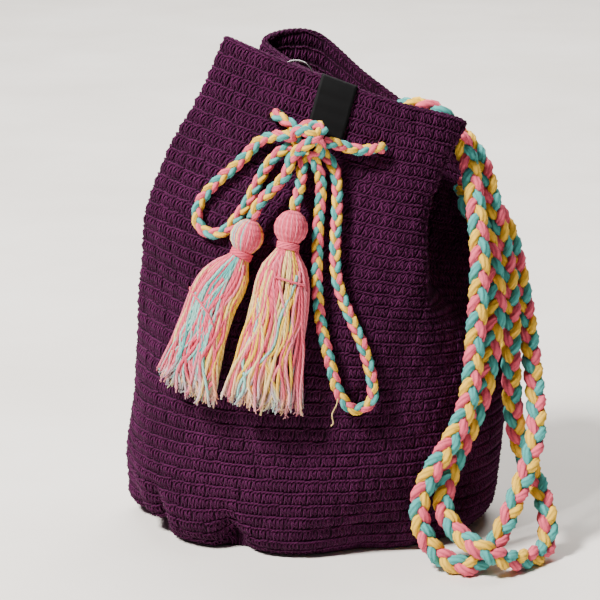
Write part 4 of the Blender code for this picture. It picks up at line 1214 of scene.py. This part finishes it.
@dataclass
class CrochetBag:
    """The bag: its base and wall of stitches, the ground they stand on, and the rim's edging."""

    shop: Workshop
    sheet: FabricSheet = field(default_factory=FabricSheet)
    eyelets: Array = field(default_factory=lambda: metres((-276, -367, 2760), (371, -419, 2561)))
    eyelet_half: float = 0.0052
    ground_eyelet_half: float = 0.0040
    ground_depths: tuple[float, float] = (0.0004, 0.0033)
    floor_step: float = 0.0006
    inner_rows: int = 6
    first_seed: int = 11

    def build(self) -> None:
        """Builds the bag."""
        lattice = self.sheet.lattice()
        stitch = StitchPattern().build(self.shop)
        names = ("crochet_foot", "crochet_low", "crochet_middle", "crochet_high")
        each = CELL.rows // len(names)
        bands = [(name, range(band * each, (band + 1) * each), 0.0) for band, name in enumerate(names)]
        bands.append(("crochet_inside", range(CELL.rows - self.inner_rows, CELL.rows), 1.0))
        for name, rows, inside in bands:
            guide = mesh_piece(name + "_cells", self.cells(rows), [])
            placed(grown(name, guide, self.shop.crochet, {
                "Material": self.shop.crochet_finish, "Stitch": stitch, "Fabric": lattice,
                "Seed": self.first_seed + rows[0], "Inside": inside,
            }))
        for spare in (lattice, stitch):
            bpy.data.objects.remove(spare, do_unlink=True)
        self.ground()
        self.edging()

    def cells(self, rows: range) -> Array:
        """Lists the stitches' places in some rows, in millimetres on the sheet, round the eyelets.

        Args:
            rows: The rows.

        Returns:
            The places.
        """
        spots = []
        for row in rows:
            shift = 0.5 * (row % 2)
            ring = min(int((row + 0.5) * self.sheet.RINGS_PER_ROW), len(self.sheet.grid) - 1)
            for column in range(CELL.columns):
                point = int((column + 0.5 + shift) * self.sheet.POINTS_PER_STITCH) % self.sheet.around
                away = np.linalg.norm(self.sheet.grid[ring, point] - self.eyelets, axis=1)
                if away.min() >= self.eyelet_half:
                    spots.append(((column + shift) * CELL.width, row * CELL.height, CELL.sunk))
        return np.array(spots)

    def ground(self) -> None:
        """Makes the closed fabric behind the stitches, with its floor and its eyelets."""
        sheet = self.sheet
        outer, inner = ((sheet.grid - depth * sheet.out)[::2] for depth in self.ground_depths)
        outer[0, :, 2] = 0.0
        inner[0, :, 2] = sheet.WALL
        inner[1, :, 2] = np.maximum(inner[1, :, 2], sheet.WALL + self.floor_step)
        rings, around = outer.shape[:2]
        half = rings * around
        index = np.arange(half).reshape(rings, around)
        index = np.column_stack([index, index[:, 0]])
        quads = grid_faces(index)
        away = np.linalg.norm(sheet.grid[::2][:-1, :, None] - self.eyelets, axis=3).min(axis=2)
        cut = away < self.ground_eyelet_half
        faces = [*quads[~cut].tolist(), *(quads[~cut][:, [1, 0, 3, 2]] + half).tolist()]
        for across, up, first, second in ((-1, 0, 0, 3), (1, 0, 2, 1), (0, -1, 1, 0), (0, 1, 3, 2)):
            edge = cut & ~np.roll(cut, (-up, -across), axis=(0, 1))
            start, end = quads[edge][:, first], quads[edge][:, second]
            faces += np.column_stack([start, end, end + half, start + half]).tolist()
        start, end = index[-1, :-1], index[-1, 1:]
        faces += np.column_stack([start, end, end + half, start + half]).tolist()
        faces += [index[0, -2::-1].tolist(), (index[0, :-1] + half).tolist()]
        # The ground takes the crochet finish without the stitches' ply attributes, so it comes out in the deep
        # colour all over: painted shade between the stitches.
        made = mesh_piece("crochet_ground", np.concatenate([outer, inner]), faces, self.shop.crochet_finish)
        placed(made, ("bag_body",))

    def edging(self) -> None:
        """Lays the chain of slip stitches along the rim."""
        inset, raised, samples, pitch = 0.0017, 0.0002, 520, 0.0105
        grid = self.sheet.grid
        up = unit(grid[-1] - grid[-3])
        rim = grid[-1] - inset * self.sheet.out[-1] + raised * up
        closed = np.vstack([rim, rim[:1]])
        run = lengths_along(closed)
        along = np.linspace(0.0, run[-1], samples)
        points = read_along(along, run, closed)
        out = unit(read_along(along, run, np.vstack([up, up[:1]])))
        forward = unit(np.gradient(points, axis=0))
        track = Track(points, np.cross(forward, out), out, along)
        values = {"Material": self.shop.crochet_finish, "Sides": 6, "Swing": 0.00145, "Lift": 0.0006,
                  "Pitch": run[-1] / round(run[-1] / pitch)}
        made = self.shop.braided("rim_edging", track, thick=0.00115, dyes=(AUBERGINE,) * 3, values=values)
        placed(made)


@dataclass
class Braid:
    """A three-strand braid of pink, mustard and teal yarn along a route."""

    FACING = (0.0, -1.0, 0.3)

    name: str
    route: Array
    diameter: float
    strand_radius: float
    step: float
    section: dict[str, float]
    stands_for: tuple[str, ...]

    def build(self, shop: Workshop, finish: bpy.types.Material, far_end: str, lay: str,
              pieces: tuple[Thing, ...] = ()) -> None:
        """Args:
            shop: The shared trees and materials.
            finish: Its material.
            far_end: What its far end is; not used.
            lay: How it lies; not used.
            pieces: The pieces on it; not used.
        """
        track = Track.through(self.route, self.step, self.FACING)
        made = shop.braided(self.name, track, self.strand_radius, (PINK, MUSTARD, TEAL),
                            self.section | {"Material": finish})
        placed(made, self.stands_for)


@dataclass(frozen=True)
class ThreadLay:
    """How a skirt's threads lie: metres, radians and shares; a pair is from and to, or laid and stray."""

    samples: int = 16
    top: float = 0.0215
    stray_top: tuple[float, float] = (0.022, 0.060)
    outer_share: tuple[float, float] = (0.93, 1.0)
    inner_share: float = 0.88
    inner_least: float = 0.05
    stray_share: float = 1.04
    stray_front: tuple[float, float] = (0.15, 0.85)
    angle_spread: float = 0.03
    end_share: float = 0.985
    end_spread: float = 0.020
    drift: tuple[float, float] = (0.24, 0.60)
    sway: tuple[float, float] = (0.085, 0.18)
    sway_speed: tuple[float, float] = (5, 14)
    swell: float = 0.05
    swell_speed: tuple[float, float] = (3, 8)
    phase: tuple[float, float] = (0, 6)
    end_shift: float = 0.0012
    pale_most: float = 0.62
    pale_from: tuple[float, float] = (0.76, 0.94)
    pale_run: float = 0.10
    girth: tuple[float, float] = (0.88, 1.12)
    taper: float = 0.15
    taper_run: float = 0.125
    start: float = 0.01
    end_fibres: int = 3
    fibre_radius: float = 0.00034
    fibre_bend: float = 0.22
    fibre_length: tuple[float, float] = (0.0025, 0.0055)
    fibre_shift: float = 0.0004
    fibre_pale: float = 0.65


@dataclass
class Tassel:
    """A hank of yarn with a bound neck, a round head and a skirt of separate threads."""

    # The colours of worn tips, places down the head, and where the binding starts and ends.
    TIPS = ((0.60, 0.68, 0.70), (0.76, 0.42, 0.46), (0.78, 0.62, 0.28), (0.26, 0.56, 0.54), (0.70, 0.20, 0.28))
    HEAD_PLACES = metres((4, 12, 30, 65, 105, 145, 180, 203, 225))[0]
    BINDING_ENDS = (0.0200, 0.0236)

    shop: Workshop
    side: str
    line: Array
    length: float
    spread: float
    loose: tuple[tuple[float, float], ...]
    seed: int
    outer_threads: int = 74
    inner_threads: int = 70
    stray_threads: int = 26
    head_threads: int = 60
    thread_radius: float = 0.00104
    binding_radius: float = 0.0064
    binding_turns: float = 3.6
    binding_samples: int = 90
    binding_yarn: float = 0.00078
    loose_yarn: float = 0.0007
    loose_lift: float = 0.0011
    core_sides: int = 24
    lay: ThreadLay = ThreadLay()

    def __post_init__(self) -> None:
        """Works out the hank's outline."""
        table = np.array(TASSEL_PROFILE)
        skirt = table[:, 0] > TASSEL_HEAD_END
        stretch = (self.length - TASSEL_HEAD_END) / (table[-1, 0] - TASSEL_HEAD_END)
        table[skirt, 0] = TASSEL_HEAD_END + (table[skirt, 0] - TASSEL_HEAD_END) * stretch
        table[:, 1] *= np.where(skirt, self.spread, 1.0)
        self.table = table
        self.random = np.random.default_rng(self.seed)

    def frame(self, distance: Array) -> tuple[Array, Array, Array]:
        """Reads the hank's middle line.

        Args:
            distance: Distances from the top.

        Returns:
            The points there, and the directions to the side and out.
        """
        path, front = self.line[:, :3], self.line[:, 3:]
        params = lengths_along(path)
        down = unit(smooth_through(params, path, distance + MILLIMETRE)
                    - smooth_through(params, path, distance - MILLIMETRE))
        side = unit(np.cross(down, smooth_through(params, front, distance)))
        return smooth_through(params, path, distance), side, np.cross(side, down)

    def surface(self, distance: Array, angle: Array, share: Array | float = 1.0, lift: float = 0.0) -> Array:
        """Finds points on or in the hank.

        Args:
            distance: Distances from the top.
            angle: Angles round it, in radians, from its left side over its front.
            share: How far from the middle, as a share of the outline.
            lift: How far off the outline.

        Returns:
            The points.
        """
        spots, side, out = self.frame(distance)
        width, depth = read_along(distance, self.table[:, 0], self.table[:, 1:3]).T + lift
        return (spots + side * (width * share * np.cos(angle))[:, None]
                + out * (depth * share * np.sin(angle))[:, None])

    def dye(self, across: float, inner: float) -> Colour:
        """Picks a thread's dye.

        Args:
            across: Where it lies, from -1 at the left to 1 at the right.
            inner: A number from 0 to 1 that decides within the place's mix.

        Returns:
            The dye.
        """
        pink = (ROSE, PALE_ROSE, DEEP_ROSE)[int(self.random.integers(3))]
        # Each mix has the part of the skirt that it is in, a dye up to one share and another up to the next.
        mixes = {
            "left": ((-0.50, 0.25, 0.30, TEAL, 0.60, MINT), (0.30, 2.0, 0.34, MUSTARD, 0.58, CREAM),
                     (-2.0, 2.0, 0.08, CREAM, 0.16, MINT)),
            "right": ((-0.15, 0.60, 0.38, MUSTARD, 0.60, CREAM), (-2.0, -0.40, 0.12, MUSTARD, 0.30, CREAM)),
        }[self.side]
        for low, high, most, common, rest, rare in mixes:
            if low < across < high and inner < rest:
                return common if inner < most else rare
        return MINT if self.side == "right" and inner > 0.94 else pink

    def skirt(self) -> tuple[list[Strand], list[Strand]]:
        """Lays the skirt's threads and the fibres at their cut ends.

        Returns:
            The threads and the fibres.
        """
        threads, fibres = [], []
        draw, lay = self.random, self.lay
        laid = self.outer_threads + self.inner_threads
        for index in range(laid + self.stray_threads):
            outer = index < self.outer_threads
            stray = index >= laid
            share = (draw.uniform(*lay.outer_share) if outer
                     else lay.inner_share * math.sqrt(draw.uniform(lay.inner_least, 1.0)))
            angle = FULL_TURN * index / self.outer_threads + draw.normal(0, lay.angle_spread)
            if stray:
                share = lay.stray_share
                angle = draw.uniform(*lay.stray_front) * math.pi
            end = self.length * (lay.end_share + lay.end_spread * draw.standard_normal())
            top = draw.uniform(*lay.stray_top) if stray else lay.top
            distance = np.linspace(top, end, lay.samples)
            grow = (distance - distance[0]) / (distance[-1] - distance[0])
            speed = draw.uniform(*lay.sway_speed)
            drift = draw.normal(0, lay.drift[stray]) * grow
            sway = np.sin(grow * speed + draw.uniform(*lay.phase)) * np.minimum(1, 2 * grow)
            drift += lay.sway[stray] * sway
            swell = np.sin(grow * draw.uniform(*lay.swell_speed) + draw.uniform(*lay.phase)) * grow
            reach = share * (1.0 + lay.swell * swell)
            points = self.surface(distance, angle + drift, reach, -self.thread_radius)
            points += draw.normal(0, lay.end_shift, 3) * (grow**3)[:, None]
            dye = np.array(self.dye(-share * math.cos(angle), float(draw.random())))
            tip = np.array(self.TIPS[int(draw.integers(len(self.TIPS)))])
            pale = np.clip((grow - draw.uniform(*lay.pale_from)) / lay.pale_run, 0, 1)[:, None] * lay.pale_most
            taper = lay.taper * np.clip((grow - 1.0) / lay.taper_run + 1.0, 0, 1)
            thick = self.thread_radius * draw.uniform(*lay.girth) * (1.0 - taper)
            threads.append(Strand(points, thick, dye * (1 - pale) + tip * pale, draw.uniform(0, lay.start)))
            ahead = unit(points[-1] - points[-2])
            fray = dye * (1 - lay.fibre_pale) + tip * lay.fibre_pale
            for _ in range(lay.end_fibres):
                bend = unit(ahead + draw.normal(0, lay.fibre_bend, 3))
                size = draw.uniform(*lay.fibre_length)
                start = points[-1] + draw.normal(0, lay.fibre_shift, 3) - ahead * MILLIMETRE
                line = np.array([start, start + (ahead + bend) * size / 4, start + bend * size])
                fibres.append(Strand(line, lay.fibre_radius, fray))
        return threads, fibres

    def head(self) -> list[Strand]:
        """Lays the threads that run over the head.

        Returns:
            The threads.
        """
        top_share, uneven, twist, sunk, rose_run = 0.55, 0.2, 0.18, 0.0008, 3
        pale_side, pale_chance, yellow_side, yellow_chance = -0.1, 0.35, 0.6, 0.4
        share = np.where(self.HEAD_PLACES < MILLIMETRE, top_share, 1.0)
        strands = []
        for index in range(self.head_threads):
            angle = FULL_TURN * (index + uneven * self.random.standard_normal()) / self.head_threads
            turn = angle + np.linspace(0.0, twist, len(share))
            points = self.surface(self.HEAD_PLACES, turn, share, -sunk)
            across = -math.cos(angle)
            dye = ROSE if index % rose_run else PALE_ROSE
            if self.side == "left" and across < pale_side and self.random.random() < pale_chance:
                dye = MINT if self.random.random() < 0.5 else CREAM
            if self.side == "left" and across > yellow_side and self.random.random() < yellow_chance:
                dye = MUSTARD
            strands.append(Strand(points, self.binding_yarn, dye))
        return strands

    def core(self) -> Thing:
        """Makes the hank's inside, so that no light passes between the threads; its dimmed rose dye is painted
        shade between them.

        Returns:
            The core.
        """
        end_gap, head_share, skirt_share, painted_shade_dim = 0.008, 0.88, 0.76, 0.25
        places = self.table[self.table[:, 0] < self.length - end_gap, 0]
        turns = np.linspace(0.0, FULL_TURN, self.core_sides, endpoint=False)
        shares = np.where(places > TASSEL_HEAD_END, skirt_share, head_share)
        points = np.array([self.surface(np.full(self.core_sides, place), turns, share)
                           for place, share in zip(places, shares)])
        index = np.arange(len(places) * self.core_sides).reshape(len(places), -1)
        quads = grid_faces(np.column_stack([index, index[:, 0]])).reshape(-1, 4)
        faces = [index[0, ::-1].tolist(), *quads.tolist(), index[-1].tolist()]
        made = mesh_piece(f"tassel_{self.side}_core", points, faces, self.shop.thread_finish)
        # The core's dye is the rose darkened to a quarter: painted shade between the threads.
        write_layer(made.data, "dye", "FLOAT_COLOR", np.tile((*(painted_shade_dim * np.array(ROSE)), 1.0), index.size))
        return made

    def build(self) -> tuple[Thing, ...]:
        """Builds the tassel.

        Returns:
            Its pieces.
        """
        name = f"tassel_{self.side}"
        core = self.core()
        head = self.head()
        threads, fibres = self.skirt()
        turns = np.linspace(0.0, self.binding_turns * FULL_TURN, self.binding_samples)
        spots, side, out = self.frame(np.linspace(*self.BINDING_ENDS, len(turns)))
        coil = spots + self.binding_radius * (side * np.cos(turns)[:, None] + out * np.sin(turns)[:, None])
        binding = Strand(coil, self.binding_yarn, ROSE if self.side == "left" else PINK)
        places = np.array(self.loose)
        route = self.surface(places[:, 0], np.radians(places[:, 1]), lift=self.loose_lift)
        loose = Strand(Track.through(route, LOOSE_STEP).points, self.loose_yarn, PINK)
        pieces = [placed(core)]
        for label, strands, sides, stands_for in (
            (name + "_head", head, 6, (name,)),
            (name + "_skirt", threads, 5, ()),
            (name + "_ends", fibres, 4, ()),
            (f"neck_{self.side}", [binding], 6, (f"neck_binding_{self.side}",)),
            (f"loose_{self.side}", [loose], 6, (f"loose_yarn_{self.side}",)),
        ):
            made = self.shop.yarns(label, strands, self.shop.thread_finish, sides)
            pieces.append(placed(made, stands_for))
        return tuple(pieces)


@dataclass
class Cords:
    """The drawstring with its bow and tassels, and the two shoulder braids."""

    STRING = {"Sides": 12, "Lobes": 4.0, "Groove": 0.12, "Twist": 70.0, "Pitch": 0.0215, "Swing": 0.00185,
              "Lift": 0.0013}
    STRAP = {"Sides": 18, "Lobes": 6.0, "Groove": 0.17, "Twist": 45.0, "Pitch": 0.031, "Swing": 0.0036,
             "Lift": 0.0023}

    shop: Workshop
    wisp_radius: float = 0.00042

    def build(self) -> None:
        shop = self.shop
        strand = Strand(Track.through(WISP, LOOSE_STEP).points, self.wisp_radius, CREAM)
        wisp = placed(shop.yarns("drawstring_wisp", [strand], shop.thread_finish))
        left = Tassel(shop, "left", TASSEL_LEFT, length=0.113, spread=0.93, loose=LOOSE_LEFT,
                      seed=21).build()
        right = Tassel(shop, "right", TASSEL_RIGHT, length=0.119, spread=1.0, loose=LOOSE_RIGHT,
                       seed=34).build()
        left_route = np.concatenate([TAIL_LEFT[::-1], KNOT_LEFT, BOW_LEFT])
        right_route = np.concatenate([TAIL_RIGHT[::-1], KNOT_RIGHT, BOW_RIGHT])
        for name, route, nodes, pieces, slide in (
            ("drawstring_left", left_route, ("tail_left", "bow_left", "drawstring_knot"), left, 0.0),
            ("drawstring_right", right_route, ("tail_right", "bow_right"), (*right, wisp), 0.004),
            ("drawstring_round", MOUTH_RUN, ("drawstring_run",), (), 0.008),
        ):
            braid = Braid(name, route, diameter=0.0068, strand_radius=0.00205, step=0.0012,
                          section=self.STRING | {"Slide": slide}, stands_for=nodes)
            braid.build(shop, shop.string_finish, "knot", "loose", pieces)
        for name, route, node, slide in (("shoulder_front", STRAP_FRONT, "strap_front", 0.0),
                                         ("shoulder_back", STRAP_BACK, "strap_back", 0.012)):
            braid = Braid(name, route, diameter=0.0125, strand_radius=0.0034, step=0.0021,
                          section=self.STRAP | {"Slide": slide}, stands_for=(node,))
            braid.build(shop, shop.braid_finish, "object", "hanging")


@dataclass
class Label:
    """The plain black woven label, folded over the front rim."""

    shop: Workshop
    half_width: float = 0.01175
    thickness: float = 0.0008
    selvedge: float = 0.25
    selvedge_share: float = 0.10
    across: int = 13
    lengthwise: int = 72

    def build(self) -> None:
        """Builds the label."""
        params = lengths_along(LABEL_LINE[:, 1])
        run = np.linspace(0.0, params[-1], self.lengthwise)
        left, middle, right = smooth_through(params, LABEL_LINE, run).transpose(1, 0, 2)[:, :, None]
        share = np.linspace(-1.0, 1.0, self.across)
        bow = middle - (left + right) / 2
        sheet = middle + (right - left) / 2 * share[None, :, None] - bow * (share**2)[None, :, None]
        normal = unit(np.cross(np.gradient(sheet, axis=1), np.gradient(sheet, axis=0)))
        selvedge = 1.0 + self.selvedge * np.exp(-(((1.0 - np.abs(share)) / self.selvedge_share) ** 2))
        normal = normal * (self.thickness / 2) * selvedge[None, :, None]
        half = self.lengthwise * self.across
        index = np.arange(half).reshape(self.lengthwise, self.across)
        quads = grid_faces(index).reshape(-1, 4)
        edge = np.concatenate([index[0], index[1:, -1], index[-1, -2::-1], index[-2:0:-1, 0]])
        after = np.roll(edge, -1)
        sides = np.column_stack([edge, edge + half, after + half, after])
        faces = np.concatenate([quads, quads[:, ::-1] + half, sides]).tolist()
        made = mesh_piece("woven_label", np.concatenate([sheet + normal, sheet - normal]), faces,
                          self.shop.label_finish)
        flat = np.column_stack([np.tile(share * self.half_width, self.lengthwise), np.repeat(run, self.across)])
        write_uv(made.data, "weave", np.vstack([flat, flat]))
        placed(made, ("label_tab",))


@dataclass
class SplitRing:
    """The metal ring of two turns of wire, and the yarn loop that holds it."""

    shop: Workshop
    hinge: Place = (-0.0160, -0.0289, 0.2868)
    lean: float = 21.0
    radius: float = 0.0109
    wire: float = 0.00058
    half_pitch: float = 0.000594
    before: float = 0.15
    short: float = 0.5
    after: float = 0.1
    samples: int = 150
    loop_yarn: float = 0.0010
    loop_radius: float = 0.00245
    loop_leg: float = 0.0017

    def build(self) -> None:
        """Builds the ring and its loop."""
        lean = math.radians(self.lean)
        side = np.array((1.0, 0.0, 0.0))
        up = np.array((0.0, math.sin(lean), math.cos(lean)))
        inward = np.array((0.0, math.cos(lean), -math.sin(lean)))
        centre = np.array(self.hinge) + up * self.radius
        turns = np.linspace(-self.before, 2 * FULL_TURN - self.short, self.samples)
        crossing = (FULL_TURN - self.short, FULL_TURN + self.after)
        drift = np.interp(turns, crossing, (-self.half_pitch, self.half_pitch))
        round_up, round_side = np.cos(turns)[:, None] * self.radius, np.sin(turns)[:, None] * self.radius
        points = centre - up * round_up + side * round_side - inward * drift[:, None]
        wire = [Strand(points, self.wire, STEEL)]
        made = self.shop.yarns("split_ring", wire, self.shop.metal_finish, sides=10)
        placed(made, ("key_ring",), Body.RING)
        bend = np.linspace(0.0, math.pi, 11)
        deep = np.concatenate([[-self.loop_leg], self.loop_radius * np.sin(bend), [-self.loop_leg]])
        high = np.concatenate([[self.loop_radius], self.loop_radius * np.cos(bend), [-self.loop_radius]])
        line = np.array(self.hinge) + inward * deep[:, None] + up * high[:, None]
        loop = [Strand(line, self.loop_yarn, AUBERGINE)]
        made = self.shop.yarns("ring_yarn_loop", loop, self.shop.crochet_finish, sides=8)
        placed(made, ("ring_loop",))


@dataclass
class Studio:
    """The pale floor, the soft lights and the camera."""

    target: Place = (-0.0135, 0.0, 0.147)
    distance: float = 1.6
    elevation: float = 16.0
    lens: float = 148.8
    floor_half: float = 7.0

    def build(self) -> None:
        """Sets up the studio."""
        corners = np.array(((-1, -1, 0), (1, -1, 0), (1, 1, 0), (-1, 1, 0))) * self.floor_half
        mesh_piece("floor", corners, [(0, 1, 2, 3)], GroundFinish("pale_plaster").build())
        self.area("key", (-1.22, -0.92, 2.08), 0.42, 170.0, (1.0, 0.97, 0.93), self.target)
        self.area("fill", (-0.45, -2.10, 0.90), 1.20, 0.6, (1.0, 0.97, 0.97), self.target)
        self.area("floor_light", (0.0, 1.60, 2.20), 2.20, 120.0, (1.0, 0.98, 0.95), (0.0, 1.50, 0.0))
        world = bpy.data.worlds.new("studio_air")
        world.use_nodes = True
        Graph(world.node_tree).fill(world.node_tree.nodes["Background"],
                                    {"Color": (0.93, 0.93, 0.95, 1.0), "Strength": 0.05})
        bpy.context.scene.world = world
        self.camera()

    @staticmethod
    def area(name: str, place: Place, size: float, power: float, tint: Colour, towards: Place) -> None:
        """Adds a soft light.

        Args:
            name: Its name.
            place: Where it is.
            size: The length of its sides.
            power: Its power.
            tint: Its colour.
            towards: What it looks at.
        """
        light = bpy.data.lights.new(name, "AREA")
        light.shape = "SQUARE"
        light.size = size
        light.energy = power
        light.color = tint
        made = shown(name, light)
        made.location = place
        made.rotation_euler = (Vector(towards) - Vector(place)).to_track_quat("-Z", "Y").to_euler()

    def camera(self) -> None:
        """Sets the camera to the picture's angle."""
        tilt = math.radians(self.elevation)
        made = shown("camera", bpy.data.cameras.new("camera"))
        made.rotation_euler = (math.pi / 2 - tilt, 0.0, 0.0)
        made.location = Vector(self.target) - Vector((0.0, math.cos(tilt), -math.sin(tilt))) * self.distance
        made.data.sensor_width = 36.0
        made.data.lens = self.lens
        bpy.context.scene.camera = made


def main() -> None:
    """Builds the bag and its studio."""
    logging.basicConfig(level=logging.INFO, format="%(name)s: %(message)s")
    shop = Workshop()
    CrochetBag(shop).build()
    Cords(shop).build()
    Label(shop).build()
    SplitRing(shop).build()
    Studio().build()


if __name__ == "__main__":
    main()
